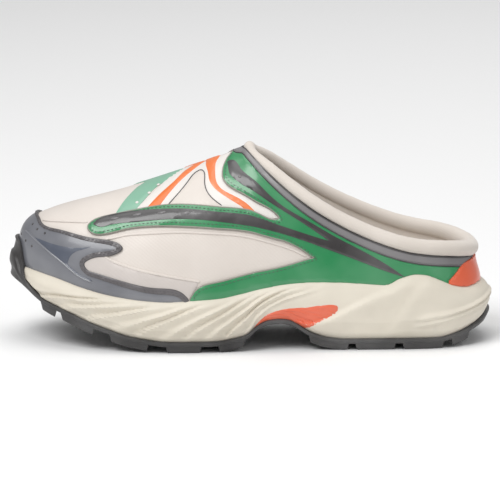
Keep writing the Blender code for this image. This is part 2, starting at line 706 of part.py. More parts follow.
def outsole_rings():
    """Under the midsole, up inside the lip and bumper, over its top, and down the outside to the bottom."""
    edge = with_height(outline(V), 0.0)
    out = outward(V)
    x = edge[:, 0]
    base = base_height(x)
    side = rim_height(x) - RIM_SOFTENING - base
    lip = LIP_HEIGHT + height_at(BUMPER, BUMPER_HEIGHT, x)
    outside = edge - out * height_at(EDGE, EDGE_INSET, x)[:, None]

    def beside_midsole(z):
        f = np.clip((z - base) / side, 0, 1)
        place = midsole_side(V, f, RIM_S) + out * (2 + 3 * smooth(f / 0.3))[:, None] * CLEARANCE
        place[:, 2] = z
        return place

    under = midsole_side(V, np.zeros_like(V), RIM_S)
    under[:, 2] = base - CLEARANCE
    rings = [under]
    for level in BUMPER_LEVELS:
        rings.append(beside_midsole(base + np.minimum(lip, level * side)))
    rings.append(beside_midsole(base + np.minimum(lip, side + RIM_SOFTENING + 3 * CLEARANCE)))
    shoulder = rings[-1]
    over = base + lip - shoulder[:, 2]
    for share in (0.12, 0.5, 1.0):
        z = shoulder[:, 2] + share * over
        place = skin(V, place_at_height(V, z), LAYER_LOW + OVERLAY + CLEARANCE)
        place[:, 2] = z
        rings.append(np.where((over > CLEARANCE)[:, None], place, shoulder))
    thick = np.minimum(BUMPER_TOP_WALL, 0.6 * ((outside - rings[-1]) * out)[:, :2].sum(axis=1))
    rings.append(rings[-1] + out * thick[:, None])
    for level in (LIP_SHOULDER * lip, -EDGE_SHARE * PLATE):
        ring = outside + 0.0
        ring[:, 2] = base + level
        rings.append(ring)
    rings.append(bottom_edge(V))
    return rings


def edge_at(x, side, inset):
    """A point of the outline at x on one side, drawn in by an inset."""
    v = side_at(np.array([x]), side > 0)
    return (with_height(outline(v), 0.0) - outward(v) * inset)[0]


def bottom_edge(v):
    """The plate's lower edge, under its rounding."""
    edge = with_height(outline(v), 0.0)
    place = edge - outward(v) * (height_at(EDGE, EDGE_INSET, edge[..., 0]) + EDGE_ROUND)[..., None]
    place[..., 2] = base_height(edge[..., 0]) - PLATE
    return place


def plate_floor(spot):
    """The plate's lower height at a spot in plan. It is ruled from each point of the lower edge to the one across."""
    low, high = 0.0, 1.0
    for _ in range(30):
        u = (low + high) / 2
        lateral, medial = bottom_edge(np.array([u, 2 - u]))
        share = np.clip((spot[1] - lateral[1]) / max(medial[1] - lateral[1], CLEARANCE), 0.0, 1.0)
        if lateral[0] + share * (medial[0] - lateral[0]) > spot[0]:
            high = u
        else:
            low = u
    return float(lateral[2] + share * (medial[2] - lateral[2]))


def lug(name, corners):
    """A tapered block from the plate down to the ground, from four corners in plan: start pair, then end pair."""
    start, end = corners[:2], corners[2:][::-1]
    centre = np.mean(corners, axis=0)
    points = []
    for f in np.linspace(0, 1, LUG_SECTIONS + 1):
        pair = start + (end - start) * f
        narrow = 1 - 2 * LUG_TAPER / np.linalg.norm((pair[1] - pair[0])[:2])
        middle = pair.mean(axis=0)
        shorter = 1 - 2 * LUG_TAPER / np.linalg.norm((end - start).mean(axis=0)[:2])
        low = (middle + (pair - middle) * narrow - centre) * (shorter, 1, 1) + centre
        points += [(spot[0], spot[1], plate_floor(spot) + LUG_ROOT * PLATE) for spot in pair]
        points += [(spot[0], spot[1], float(ground(spot[0]))) for spot in low[::-1]]
    faces = [(0, 1, 2, 3), tuple(4 * LUG_SECTIONS + k for k in (3, 2, 1, 0))]
    for row in range(LUG_SECTIONS):
        a, b = 4 * row, 4 * row + 4
        for k in range(4):
            m = (k + 1) % 4
            faces.append((a + k, b + k, b + m, a + m))
    return make_object(name, points, faces, "black_rubber")


def make_outsole():
    """The plate with its lip and bumper, joined with every lug under it."""
    plate = ring_solid("outsole", outsole_rings(), "black_rubber")
    lugs = bpy.data.collections.new("lugs")
    bpy.context.scene.collection.children.link(lugs)

    def add(name, corners):
        block = as_cutter(lug(name, np.array(corners)))
        bpy.context.scene.collection.objects.unlink(block)
        lugs.objects.link(block)

    for side_name, side in SIDES:
        for k, (start, end) in enumerate(LUGS):
            x0, x1 = (start - 0.5) * LENGTH, (end - 0.5) * LENGTH
            reach = np.array([0.0, side, 0.0]) * LUG_REACH
            outer = [edge_at(x, side, EDGE_INSET + 0.3 * EDGE_ROUND) for x in (x0, x1)]
            add(f"lug_{side_name}_{k}", [outer[0], outer[0] + reach, outer[1] + reach, outer[1]])
    for k, (start, end) in enumerate(CENTRE_LUGS):
        x0, x1 = (start - 0.5) * LENGTH, (end - 0.5) * LENGTH
        across = [(edge_at(x, 1, 0.0)[1] + edge_at(x, -1, 0.0)[1]) / 2 for x in (x0, x1)]
        half = CENTRE_LUG_WIDTH / 2
        for name, shift in (("a", -0.5), ("b", 0.5)):
            y = [a + shift * CENTRE_LUG_PITCH for a in across]
            add(f"lug_centre_{k}{name}", [(x0, y[0] - half, 0), (x0, y[0] + half, 0),
                                          (x1, y[1] + half, 0), (x1, y[1] - half, 0)])
    modifier = plate.modifiers.new("lugs", "BOOLEAN")
    modifier.operation = "UNION"
    modifier.operand_type = "COLLECTION"
    modifier.collection = lugs
    return plate


# Insole

def make_insole():
    """A footbed that fills the cup's floor inside the upper."""
    inside = WALL + 2 * CLEARANCE
    low = skin(V, np.zeros_like(V), -inside)
    floor_z = surface(V, np.zeros_like(V))[:, 2] - CLEARANCE
    low[:, 2] = floor_z + CLEARANCE
    s = place_at_height(V, floor_z + INSOLE)
    high = skin(V, s, -inside - 0.2 * CLEARANCE)
    high[:, 2] = floor_z + INSOLE
    drawn = high + 0.0
    drawn[:, :2] -= outward(V)[:, :2] * INSOLE_EDGE
    drawn[:, 2] -= INSOLE_DIP
    return ring_solid("insole", [low, high, drawn], "cream_lining")


# Panels over the upper

def resampled(points, step, closed):
    """Points spaced evenly on a smooth curve through a short list of points."""
    p = np.asarray(points, float)
    gaps = np.linalg.norm(np.diff(p, axis=0), axis=1)
    if closed:
        gaps = np.append(gaps, np.linalg.norm(p[0] - p[-1]))
        curve = cubic(np.concatenate([[0], np.cumsum(gaps)[:-1]]), p, gaps.sum())
    elif len(p) == 2:
        return np.linspace(p[0], p[1], max(2, int(round(gaps[0] / step)) + 1))
    else:
        curve = cubic(np.concatenate([[0], np.cumsum(gaps)]), p)
    count = max(3, int(round(gaps.sum() / step)))
    if closed:
        return curve(np.arange(count) * gaps.sum() / count)
    return curve(np.linspace(0, gaps.sum() - 1e-12, count + 1))


def drawn_height(v, z):
    """A height on the section at v, as it is drawn: between the drawn rim and the drawn top."""
    x = outline(v)[..., 0]
    rim, drawn_rim = rim_height(x), height_at(RIM, DRAWN_RIM_TOP, x)
    drawn_end = along_top(v, DRAWN_RIDGE, DRAWN_COLLAR)[..., 0]
    return drawn_rim + (z - rim) / (top(v)[..., 2] - rim) * (drawn_end - drawn_rim)


def drawn_place(v, point):
    """Where a point of the upper on the section at v lies in the drawn side view."""
    up = math.cos(DRAWN_TILT) * drawn_height(v, point[..., 2])
    away = DRAWN_BALL * math.sin(DRAWN_TILT) * point[..., 1] / BALL_WIDTH
    return np.stack([DRAWN_TOE + DRAWN_LENGTH * (point[..., 0] / LENGTH + 0.5), DRAWN_FLOOR - up - away], axis=-1)


def drawing_grid():
    """The lateral surface's places in the drawn side view, with their v and s."""
    v, s = np.meshgrid(np.linspace(0.0, 1.0, 420), np.linspace(0.0, 1.0, 160), indexing="ij")
    place = drawn_place(v, surface(v, s))
    facing = normal(v, s) @ np.array([0.0, -math.cos(DRAWN_TILT), math.sin(DRAWN_TILT)])
    seen = facing > 0.02
    return place[seen], np.stack([v[seen], s[seen]], axis=-1)


DRAWING = drawing_grid()


def traced(points):
    """v and s on the lateral side for places in the drawn side view."""
    places, spots = DRAWING
    found = []
    for p in np.asarray(points, float):
        distance = ((places - p) ** 2).sum(axis=1)
        near = np.argsort(distance)[:6]
        weight = 1 / (distance[near] + 1e-3)
        found.append((spots[near] * weight[:, None]).sum(axis=0) / weight.sum())
    return np.array(found)


SPREAD = (1.12 * LENGTH, 0.85 * BALL_WIDTH)


def strokes_loop(strokes, step, closed=False):
    """A loop in v and s through strokes of the drawn side view, each smooth, meeting at corners."""
    loop = []
    for stroke in strokes:
        spots = traced(stroke) * SPREAD
        curve = resampled(spots, step, closed)
        loop.append(curve if closed else curve[:-1])
    if not closed:
        loop.append(curve[-1:])
    return np.vstack(loop) / SPREAD


def inside_loop(points, loop):
    """Which points lie inside a closed loop."""
    x, y = points[:, 0][:, None], points[:, 1][:, None]
    ax, ay = loop[:, 0], loop[:, 1]
    bx, by = np.roll(ax, -1), np.roll(ay, -1)
    crosses = ((ay > y) != (by > y)) & (x < (bx - ax) * (y - ay) / np.where(by == ay, 1e-12, by - ay) + ax)
    return crosses.sum(axis=1) % 2 == 1


def panel_solid(name, loop, place, inner, outer, finish, scale=SPREAD, holes=()):
    """A closed thin piece between two offsets of a surface, with a loop drawn in the surface's own places."""
    loops = [np.asarray(loop) * scale] + [np.asarray(h) * scale for h in holes]
    low, high = loops[0].min(axis=0), loops[0].max(axis=0)
    fill = FILL_STEP
    xs = np.arange(math.ceil(low[0] / fill), math.floor(high[0] / fill) + 1) * fill
    ys = np.arange(math.ceil(low[1] / fill), math.floor(high[1] / fill) + 1) * fill
    grid = np.array([(x, y) for x in xs for y in ys]).reshape(-1, 2)
    edge_points = np.vstack(loops)
    if len(grid):
        keep = inside_loop(grid, loops[0])
        for hole in loops[1:]:
            keep &= ~inside_loop(grid, hole)
        far = np.array([((edge_points - g) ** 2).sum(axis=1).min() for g in grid]) > (0.55 * fill) ** 2
        grid = grid[keep & far]
    flat = np.vstack([edge_points, grid]) if len(grid) else edge_points
    edges, start = [], 0
    for one in loops:
        edges += [(start + i, start + (i + 1) % len(one)) for i in range(len(one))]
        start += len(one)
    found = delaunay_2d_cdt([Vector(p) for p in flat], edges, [], 0, 1e-7)
    flat = np.array([tuple(p) for p in found[0]])
    triangles = np.array([f for f in found[2] if len(f) == 3])
    middles = flat[triangles].mean(axis=1)
    keep = inside_loop(middles, loops[0])
    for hole in loops[1:]:
        keep &= ~inside_loop(middles, hole)
    triangles = triangles[keep]
    spots = flat / scale
    count = len(spots)
    points = np.vstack([place(spots, outer), place(spots, inner)])
    faces = [tuple(t) for t in triangles] + [tuple(t[::-1] + count) for t in triangles]
    seen = {}
    for t in triangles:
        for a, b in ((t[0], t[1]), (t[1], t[2]), (t[2], t[0])):
            seen[(a, b)] = True
    for a, b in seen:
        if (b, a) not in seen:
            faces.append((b, a, a + count, b + count))
    used = sorted({p for face in faces for p in face})
    renumber = {p: i for i, p in enumerate(used)}
    return make_object(name, points[used], [[renumber[p] for p in face] for face in faces], finish)


def on_upper(spots, offset):
    return skin(spots[:, 0], spots[:, 1], offset)


def rim_line(v_from, v_to, step):
    """Places just over the midsole's rim, from one v to another."""
    count = max(2, int(round(abs(v_to - v_from) * SPREAD[0] / step)))
    v = np.linspace(v_from, v_to, count + 1)
    at_columns = rim_height(outline(V)[:, 0])
    rim = np.interp(np.mod(v, 2), np.append(V, 2.0), np.append(at_columns, at_columns[0]))
    return np.stack([v, place_at_height(v, rim + RIM_SEAM)], axis=-1)


def mirrored(loop):
    return loop * (-1.0, 1.0)


LAYER_LOW = 2 * CLEARANCE


def make_toe_cap():
    """The cap round the toe: the drawn edge on both sides, closed along the midsole's rim."""
    lateral = strokes_loop(TOE_CAP, OUTLINE_STEP)
    lateral = lateral[lateral[:, 1] > 0.0]
    lateral[0, 0] = 0.0
    lateral[-1] = rim_line(lateral[-1, 0], 0.0, OUTLINE_STEP)[0]
    low = rim_line(lateral[-1, 0], -lateral[-1, 0], OUTLINE_STEP)[1:]
    loop = np.vstack([lateral, low, mirrored(lateral)[1:-1][::-1]])
    return panel_solid("toe_cap", loop, on_upper, LAYER_LOW, LAYER_LOW + OVERLAY, "grey_cap")


def collar_reach(v):
    """Metres along the section for each step of s, just under the collar's edge."""
    return np.linalg.norm(surface(v, np.ones_like(v)) - surface(v, np.full_like(v, 0.94)), axis=-1) / 0.06


REACH_AT = np.linspace(THROAT, 1.0, 60)
REACH = collar_reach(REACH_AT)


def heel_line(distance):
    """v where the heel piece's front edge lies at a distance from the collar's edge."""
    curve = strokes_loop([HEEL_PIECE], 0.3 * OUTLINE_STEP)
    s = 1 - distance / np.interp(curve[:, 0], REACH_AT, REACH)
    over = curve[:, 1] - s
    return float(np.interp(0.0, -over, curve[:, 0])) if over[0] > 0 else float(curve[0, 0])


def collar_ring(distance, start=1.0):
    """Places round the opening at a distance from its edge, from the back up the medial side and over the ridge.
    s over 1 is the medial side."""
    side = start - (start - THROAT) * np.arange(REAR_STEPS) / REAR_STEPS
    medial = np.stack([side, 1 + distance / np.interp(side, REACH_AT, REACH)], axis=-1)
    angle = math.pi / 2 - math.pi * np.arange(BAND_TURNS + 1) / BAND_TURNS
    ahead = np.linalg.norm(RIDGE(THROAT) - RIDGE(THROAT - 0.02)) / 0.02
    front = np.stack([THROAT - distance * np.cos(angle) / ahead,
                      1 + distance * np.sin(angle) / REACH[0]], axis=-1)
    lateral = (medial * (1, -1) + (0, 2))[::-1]
    return np.vstack([medial, front, lateral])


def make_collar_band():
    """The band under the padded roll, from the heel piece round the front of the opening and back."""
    rings = []
    for distance in (BAND_TOP, (BAND_TOP + BAND_WIDTH) / 2, BAND_WIDTH):
        rings.append(collar_ring(distance, heel_line(distance) - SEAM / SPREAD[0]))
    outer = [on_upper(ring, LAYER_LOW + OVERLAY) for ring in rings]
    inner = [on_upper(ring, LAYER_LOW) for ring in rings[::-1]]
    loops = outer + inner
    count = len(loops[0])
    faces = []
    for k in range(len(loops)):
        m = (k + 1) % len(loops)
        for i in range(count - 1):
            faces.append((k * count + i, k * count + i + 1, m * count + i + 1, m * count + i))
    last = len(loops) - 1
    for k in range(len(rings) - 1):
        for i in (0, count - 1):
            faces.append([row * count + i for row in (k, k + 1, last - k - 1, last - k)])
    return make_object("collar_band", np.concatenate(loops), faces, "grey_band")


def under_band(spots, distance):
    """Which places on the lateral side lie further than a distance from the collar's edge."""
    ring = collar_ring(distance)
    lateral = ring[ring[:, 1] <= 1.0]
    lateral = lateral[np.argsort(lateral[:, 0])]
    ahead = spots[:, 0] < lateral[0, 0]
    return ahead | (spots[:, 1] < np.interp(spots[:, 0], lateral[:, 0], lateral[:, 1]))


def band_line(v_from, v_to):
    """The cage's edge along the band, from one v to another, heel end first."""
    ring = collar_ring(BAND_WIDTH + SEAM)
    lateral = ring[ring[:, 1] <= 1.0]
    lateral = lateral[np.argsort(-lateral[:, 0])]
    kept = lateral[(lateral[:, 0] < v_from) & (lateral[:, 0] > v_to)]
    at = np.interp([v_from, v_to], lateral[::-1, 0], lateral[::-1, 1])
    line = np.vstack([[(v_from, at[0])], kept, [(v_to, at[1])]])
    return resampled(line * SPREAD, OUTLINE_STEP, False) / SPREAD


def cut_at_band(curve, distance):
    """A curve that runs up to the collar, ended at a distance from the collar's edge."""
    inside = under_band(curve, distance)
    last = int(np.argmin(inside)) if not inside.all() else len(curve)
    low, high = curve[last - 1], curve[min(last, len(curve) - 1)]
    for _ in range(30):
        middle = (low + high) / 2
        if under_band(middle[None], distance)[0]:
            low = middle
        else:
            high = middle
    kept = curve[:last]
    if np.linalg.norm((kept[-1] - low) * SPREAD) < 0.4 * OUTLINE_STEP:
        kept = kept[:-1]
    return np.vstack([kept, low])


def heel_seam(shift, distance):
    """The edge between cage and heel piece, from the rim up, moved back by a shift."""
    curve = strokes_loop([HEEL_PIECE[::-1]], OUTLINE_STEP) + (shift / SPREAD[0], 0.0)
    curve = cut_at_band(curve, distance)
    curve[0] = rim_line(curve[0, 0], 1.0, OUTLINE_STEP)[0]
    return curve


def make_cages():
    """The moulded cage on each side, over the instep loop and back to the heel."""
    front = strokes_loop(CAGE, OUTLINE_STEP)
    front = front[::-1][:int(np.argmin(under_band(front[::-1], BAND_WIDTH + SEAM))) or None][::-1]
    up = heel_seam(0.0, BAND_WIDTH + SEAM)
    edge = band_line(up[-1, 0], front[0, 0] + 0.5 * OUTLINE_STEP / SPREAD[0])
    for side_name, side in SIDES:
        low = rim_line(side * front[-1, 0], side * up[0, 0], OUTLINE_STEP) * (side, 1)
        loop = np.vstack([front[:-1], low, up[1:], edge[1:]])
        spots = loop if side > 0 else mirrored(loop)
        panel_solid("cage_" + side_name, spots, on_upper, LAYER_LOW, LAYER_LOW + OVERLAY, "green_film")


def make_heel_piece():
    """The piece over the heel's back, between the two cages."""
    lateral = heel_seam(SEAM, BAND_TOP)[::-1]
    other = lateral * (-1.0, 1.0) + (2.0, 0.0)
    low = rim_line(lateral[-1, 0], 2 - lateral[-1, 0], OUTLINE_STEP)
    across = max(2, int(round((other[0, 0] - lateral[0, 0]) * SPREAD[0] / OUTLINE_STEP)))
    high = np.linspace(lateral[0], other[0], across + 1)[1:-1]
    high[:, 1] = 1 - BAND_TOP / np.interp(side_place(high[:, 0]), REACH_AT, REACH)
    loop = np.vstack([lateral, low[1:], other[:-1][::-1], high[::-1]])
    return panel_solid("heel_piece", loop, on_upper, LAYER_LOW, LAYER_LOW + OVERLAY, "orange_plastic")


def collar_frame():
    """Points round the collar's edge, the surface's normal there, and the way out of the edge along it."""
    v = V[FORE_COLUMNS:len(V) - FORE_COLUMNS]
    edge = top(v)
    step = 1e-4
    along = unit(top(v + step) - top(v - step))
    along[0] = (0.0, -1.0, 0.0)
    out = normal(v, np.full_like(v, 0.995))
    beyond = unit(np.cross(out, along))
    return v, edge, out, beyond


def make_collar_roll():
    """The padded roll that sits on the upper's edge all round the opening."""
    v, edge, out, beyond = collar_frame()
    count = len(v)
    radius = COLLAR_ROLL / 2
    centre = edge - out * WALL / 2 + beyond * (radius + 2 * CLEARANCE)
    rings = []
    sides = 10
    for k in range(sides):
        a = 2 * math.pi * (k + 0.5) / sides
        rings.append(centre + out * radius * math.cos(a) + beyond * radius * math.sin(a))
    points = np.concatenate(rings)
    faces = []
    for k in range(sides):
        for i in range(count):
            j, m = (i + 1) % count, (k + 1) % sides
            faces.append((k * count + i, k * count + j, m * count + j, m * count + i))
    return make_object("collar_roll", points, faces, "cream_lining")


def clear_scene():
    for old in list(bpy.data.objects):
        bpy.data.objects.remove(old, do_unlink=True)


def main():
    clear_scene()
    make_outsole()
    make_midsole()
    make_insole()
    make_upper()
    make_toe_cap()
    make_cages()
    make_heel_piece()
    make_collar_band()
    make_collar_roll()


main()
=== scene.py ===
"""The looks of a slip-on sneaker for the left foot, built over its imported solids.

The last is worked out from the same sizes as the solids. Every layer of the upper is drawn in a side view, traced
onto the last and given its own thickness, so that it wraps both sides of the shoe.
"""

from collections import namedtuple
import math

import bmesh
import bpy
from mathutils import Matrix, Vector
from mathutils.geometry import delaunay_2d_cdt
import numpy as np


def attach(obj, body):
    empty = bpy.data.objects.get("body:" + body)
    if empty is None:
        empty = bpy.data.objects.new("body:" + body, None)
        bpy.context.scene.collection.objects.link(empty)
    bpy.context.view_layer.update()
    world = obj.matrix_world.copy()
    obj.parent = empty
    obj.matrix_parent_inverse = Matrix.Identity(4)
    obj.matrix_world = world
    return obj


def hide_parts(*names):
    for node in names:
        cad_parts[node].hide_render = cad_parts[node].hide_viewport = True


bl_info = {
    "name": "Slip-on sneaker",
    "version": (1, 0, 0),
    "blender": (4, 5, 0),
    "location": "View3D > Sidebar > Sneaker",
    "description": "Builds a slip-on sneaker piece by piece, with its studio",
    "category": "Object",
}

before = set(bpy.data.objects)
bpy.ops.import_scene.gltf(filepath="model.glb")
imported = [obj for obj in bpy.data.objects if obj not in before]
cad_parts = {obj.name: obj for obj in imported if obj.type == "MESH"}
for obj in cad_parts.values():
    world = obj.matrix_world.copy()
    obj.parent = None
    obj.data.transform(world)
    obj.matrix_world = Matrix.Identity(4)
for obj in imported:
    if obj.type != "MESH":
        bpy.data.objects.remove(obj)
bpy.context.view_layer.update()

# Sizes of the last and the sole, as the solids have them, in metres
LENGTH = 0.300
BALL_WIDTH = 0.108
TOE_HEIGHT = 0.0822
INSTEP_HEIGHT = 0.1190
HEEL_HEIGHT = 0.053
RIM_HEIGHT = 0.047
FOOTBED_HEIGHT = 0.030
TOE_SPRING = 0.034
ARCH_RISE = 0.0134
HEEL_BEVEL = 0.012
FEATHER_INSET = 0.007
WALL = 0.0024
CLEARANCE = 0.0003
SIDE_BULGE = 0.0038
RIM_LIP = 0.0022
RIM_SOFTENING = 0.0009
PLATE = 0.0024
LUG_DEPTH = 0.0038
EDGE_INSET = 0.0012
EDGE_ROUND = 0.0022
BUMPER_HEIGHT = 0.021
BUMPER_TUCK = 0.0034
BUMPER_TOP_WALL = 0.0022
LIP_HEIGHT = 0.0009
LUG_TAPER = 0.0016
LUG_REACH = 0.019
LUG_ROOT = 0.4
BAND_WIDTH = 0.0075
BAND_TOP = 0.0008
INSOLE = 0.0045
FILM_LOW = 0.0001
CAP_TOP = 0.0002  # how far the cap's top lies over a film's own thickness
SHADE_PATCH_TOP = 0.0005  # the same for the darker layer that paints the shade in the cap's hollow
BORDER_TOP = 0.0009  # for the cap's border
CAGE_TOP = 0.0008  # for the cage
INLAY_LOW = 0.0007  # for the inlays' underside
HEEL_TOP = 0.0014  # for the heel piece
UNDER_RIM = -0.0006  # where the films end, against the midsole's rim
BORDER_WIDTH = 0.0026
CAP_STITCH_INSETS = (0.0010, 0.0021)
CAGE_STITCH_INSET = 0.0016
CAP_ROUNDING = 0.0007
BORDER_ROUNDING = 0.0005
FILM_ROUNDING = 0.0009
FINE_ROUNDING = 0.0004
SOFT_ROUNDING = 0.0006
DISC = 0.0003
FILM_LIFT = 0.0013  # height over the last at which the films' outlines are drawn
CLOTH_LIFT = 0.0004  # the same for the panels and seams of the cloth
THROAT_BLEND = 0.030  # how far along v the last is softened at the throat

# The side view that the layers are drawn on, looking down a little. Its places are pixels of the photograph
DRAWN_TOE = 10.0
DRAWN_HEEL = 490.0
DRAWN_FLOOR = 335.5
DRAWN_TILT = math.radians(12.0)
DRAWN_LENGTH = DRAWN_HEEL - DRAWN_TOE
METRES_PER_PIXEL = LENGTH / DRAWN_LENGTH
PICTURE_SIDE = 500

# The last's sections, toe to heel, in shares of the sizes above
Section = namedtuple(
    "Section",
    "along lateral medial feather top_along top_lateral top_medial top_rise rise swell flat steep",
)
SECTIONS = [
    Section(0.000, -0.050, 0.050, 0.93, 0.113, -0.055, 0.055, 0.000, 0.74, 0.25, 0.92, 0.00),
    Section(0.020, 0.135, 0.235, 0.95, 0.117, -0.055, 0.055, 0.010, 0.72, 0.28, 0.89, 0.00),
    Section(0.065, 0.285, 0.365, 1.00, 0.131, -0.054, 0.054, 0.045, 0.67, 0.30, 0.82, 0.00),
    Section(0.130, 0.395, 0.435, 1.00, 0.164, -0.052, 0.052, 0.120, 0.60, 0.32, 0.74, 0.00),
    Section(0.210, 0.465, 0.475, 0.95, 0.224, -0.050, 0.050, 0.250, 0.53, 0.35, 0.66, 0.00),
    Section(0.300, 0.500, 0.488, 0.90, 0.304, -0.046, 0.046, 0.455, 0.47, 0.35, 0.60, 0.00),
    Section(0.390, 0.500, 0.462, 0.90, 0.390, -0.040, 0.040, 0.700, 0.42, 0.30, 0.53, 0.00),
    Section(0.480, 0.473, 0.418, 0.90, 0.489, -0.032, 0.032, 1.000, 0.37, 0.25, 0.44, 0.03),
    Section(0.570, 0.442, 0.387, 0.92, 0.543, 0.165, 0.205, 0.800, 0.34, 0.20, 0.34, 0.16),
    Section(0.660, 0.422, 0.372, 0.95, 0.635, 0.275, 0.295, 0.500, 0.34, 0.20, 0.15, 0.32),
    Section(0.750, 0.412, 0.375, 0.97, 0.737, 0.318, 0.325, 0.263, 0.35, 0.25, 0.06, 0.34),
    Section(0.840, 0.398, 0.378, 1.00, 0.830, 0.317, 0.317, 0.120, 0.35, 0.30, 0.05, 0.34),
    Section(0.920, 0.352, 0.345, 1.05, 0.903, 0.262, 0.262, 0.067, 0.35, 0.32, 0.05, 0.34),
    Section(0.975, 0.233, 0.233, 1.15, 0.946, 0.150, 0.150, 0.026, 0.35, 0.34, 0.05, 0.34),
    Section(1.000, 0.000, 0.000, 1.22, 0.9617, 0.000, 0.000, 0.000, 0.35, 0.35, 0.05, 0.34),
]
THROAT_ROW = 7

# Heights along the shoe: share of the length, share of the size named beside each table
TOE_LIFT = [  # of TOE_SPRING
    (0.0, 1.0), (0.02, 0.95), (0.035, 0.87), (0.052, 0.76), (0.072, 0.65), (0.105, 0.54), (0.129, 0.46),
    (0.162, 0.34), (0.208, 0.205), (0.245, 0.105), (0.292, 0.035), (0.33, 0.0),
]
ARCH_LIFT = [  # of ARCH_RISE
    (0.42, 0.0), (0.47, 0.14), (0.495, 0.30), (0.515, 0.70), (0.54, 0.96), (0.56, 1.0), (0.58, 0.95),
    (0.60, 0.74), (0.625, 0.37), (0.66, 0.10), (0.70, 0.0),
]
HEEL_LIFT = [(0.89, 0.0), (0.93, 0.19), (0.965, 0.48), (0.985, 0.70), (1.0, 1.0)]  # of HEEL_BEVEL
RIM = [  # of RIM_HEIGHT
    (0.02, 0.98), (0.08, 0.935), (0.145, 0.83), (0.21, 0.745), (0.28, 0.69), (0.33, 0.675), (0.38, 0.695),
    (0.44, 0.72), (0.48, 0.77), (0.53, 0.84), (0.58, 0.89), (0.63, 0.908), (0.70, 0.90), (0.765, 0.872),
    (0.783, 0.868), (0.815, 0.955), (0.85, 1.0), (0.87, 0.985), (0.90, 0.91), (0.93, 0.83), (0.965, 0.79),
    (1.0, 0.80),
]
CUP_FLOOR = [  # of FOOTBED_HEIGHT
    (0.0, 1.45), (0.025, 1.41), (0.06, 1.24), (0.10, 1.12), (0.17, 0.95), (0.23, 0.83), (0.30, 0.75),
    (0.37, 0.72), (0.45, 0.77), (0.52, 0.88), (0.58, 0.96), (0.66, 1.0), (1.0, 1.0),
]
BUMPER = [  # of BUMPER_HEIGHT, over LIP_HEIGHT
    (0.0, 1.0), (0.006, 0.97), (0.0115, 0.82), (0.017, 0.47), (0.024, 0.22), (0.036, 0.04), (0.052, 0.0),
]
TUCK = [(0.0, 1.0), (0.012, 0.95), (0.035, 0.45), (0.07, 0.0)]  # of BUMPER_TUCK
EDGE = [(0.0, 0.0), (0.04, 0.35), (0.10, 1.0), (0.93, 1.0), (1.0, 0.15)]  # of EDGE_INSET
SIDE = [(0.0, 1.0), (0.14, 0.42), (0.34, 0.06), (0.60, 0.14)]  # share of the side's height, of SIDE_BULGE
SIDE_TURN = 0.60

# Midsole carving: where each flame ridge meets the bottom edge, and the wing's front edge, in shares of the length
FLAMES = (0.020, 0.062, 0.105, 0.165, 0.220, 0.268, 0.323, 0.372, 0.412, 0.455, 0.495, 0.530)
FLAME_SWEEP = 0.165
FLAME_CURVE = 1.8
WING_TOP = 0.783
WING_RUN = 0.215
WING_CREASE = 0.872
WING_CREASE_RUN = 0.10

# The arch inserts' outline on the midsole's side: share of the length, share of the side's height
ARCH_INSERT = [
    (0.498, -0.04), (0.519, 0.16), (0.540, 0.29), (0.567, 0.37), (0.600, 0.48), (0.633, 0.60),
    (0.660, 0.655), (0.676, 0.66), (0.684, 0.60), (0.682, 0.53), (0.672, 0.46), (0.650, 0.33),
    (0.632, 0.19), (0.618, 0.06), (0.610, -0.04),
]

# Lugs along each edge and down the middle: start and end as shares of the length
LUGS = [
    (0.062, 0.098), (0.105, 0.178), (0.208, 0.292), (0.325, 0.402), (0.434, 0.492),
    (0.620, 0.706), (0.716, 0.803), (0.814, 0.904), (0.918, 0.960),
]
CENTRE_LUGS = [
    (0.075, 0.120), (0.150, 0.205), (0.235, 0.290), (0.320, 0.375), (0.405, 0.455),
    (0.660, 0.715), (0.745, 0.800), (0.830, 0.885),
]
CENTRE_LUG_WIDTH = 0.016
CENTRE_LUG_PITCH = 0.023

SIDES = (("lateral", 1.0), ("medial", -1.0))

# The collar band's profile: share of its width, share of its thickness, or none for its underside
BAND_PROFILE = (
    (0.0, 0.45), (0.04, 0.85), (0.10, 1.0), (0.30, 1.0), (0.50, 1.0), (0.70, 1.0), (0.78, 1.0), (0.80, 0.80),
    (0.83, 1.0), (0.92, 1.0), (0.97, 0.85), (1.0, 0.45), (1.0, None), (0.5, None), (0.0, None),
)

# Pipings along the collar band: name, distance from the collar's edge, radius
COLLAR_PIPING = (("low", BAND_WIDTH - 0.0004, 0.0005), ("high", BAND_TOP + 0.0006, 0.0006))

# Layers of the upper in the drawn side view, as strokes that meet at corners, in pixels of the photograph
TOE_CAP = [
    [(40, 218.5), (42, 222.5), (47.8, 226.8), (60.6, 230), (87.7, 237.2),
     (113.2, 241.5), (121.5, 245.2), (123.6, 248.4), (121, 251.3), (98.9, 256.3), (89.3, 259.5),
     (85.3, 264.3), (87.7, 269.1), (95.7, 273.1), (127.6, 282.6), (159.4, 288.7), (183.4, 293.8), (189.5, 300)],
]
CAP_CROSSING = 37.5  # where the cap's edge crosses the toe's centre line
# Outline of the cap's hollow, filled with a darker layer: painted shade in the hollow
CAP_SHADE_PATCH = [
    [(33, 236), (47, 248.5), (58, 257.5), (68.5, 266)],
    [(68.5, 266), (70, 261), (72, 256.5), (77, 252), (86, 249.2), (93, 246.8)],
    [(93, 246.8), (80, 247.8), (66, 246.6), (52, 243.2), (41, 239.2), (33, 236)],
]
CAP_CREASE = [
    (26.3, 229.5), (34.3, 237.4), (41.5, 244), (52.6, 253.6), (63.8, 262.4), (73.3, 270.6), (82.9, 277.4), (95, 282),
]
# A darker bead along the fold beside the crease: a painted shadow line
CAP_FOLD_SHADE = [(66, 262.5), (73.3, 269), (82.9, 276), (94, 280.6)]
CAP_BEADS = (  # name, stroke, radius, height over the last, finish
    ("toe_crease", CAP_CREASE, 0.0008, 0.0010, "cap"),
    # the fold's bead takes the hollow's darker colour: painted shade
    ("toe_fold_shade", CAP_FOLD_SHADE, 0.0006, 0.0011, "cap_painted_shade"),
)
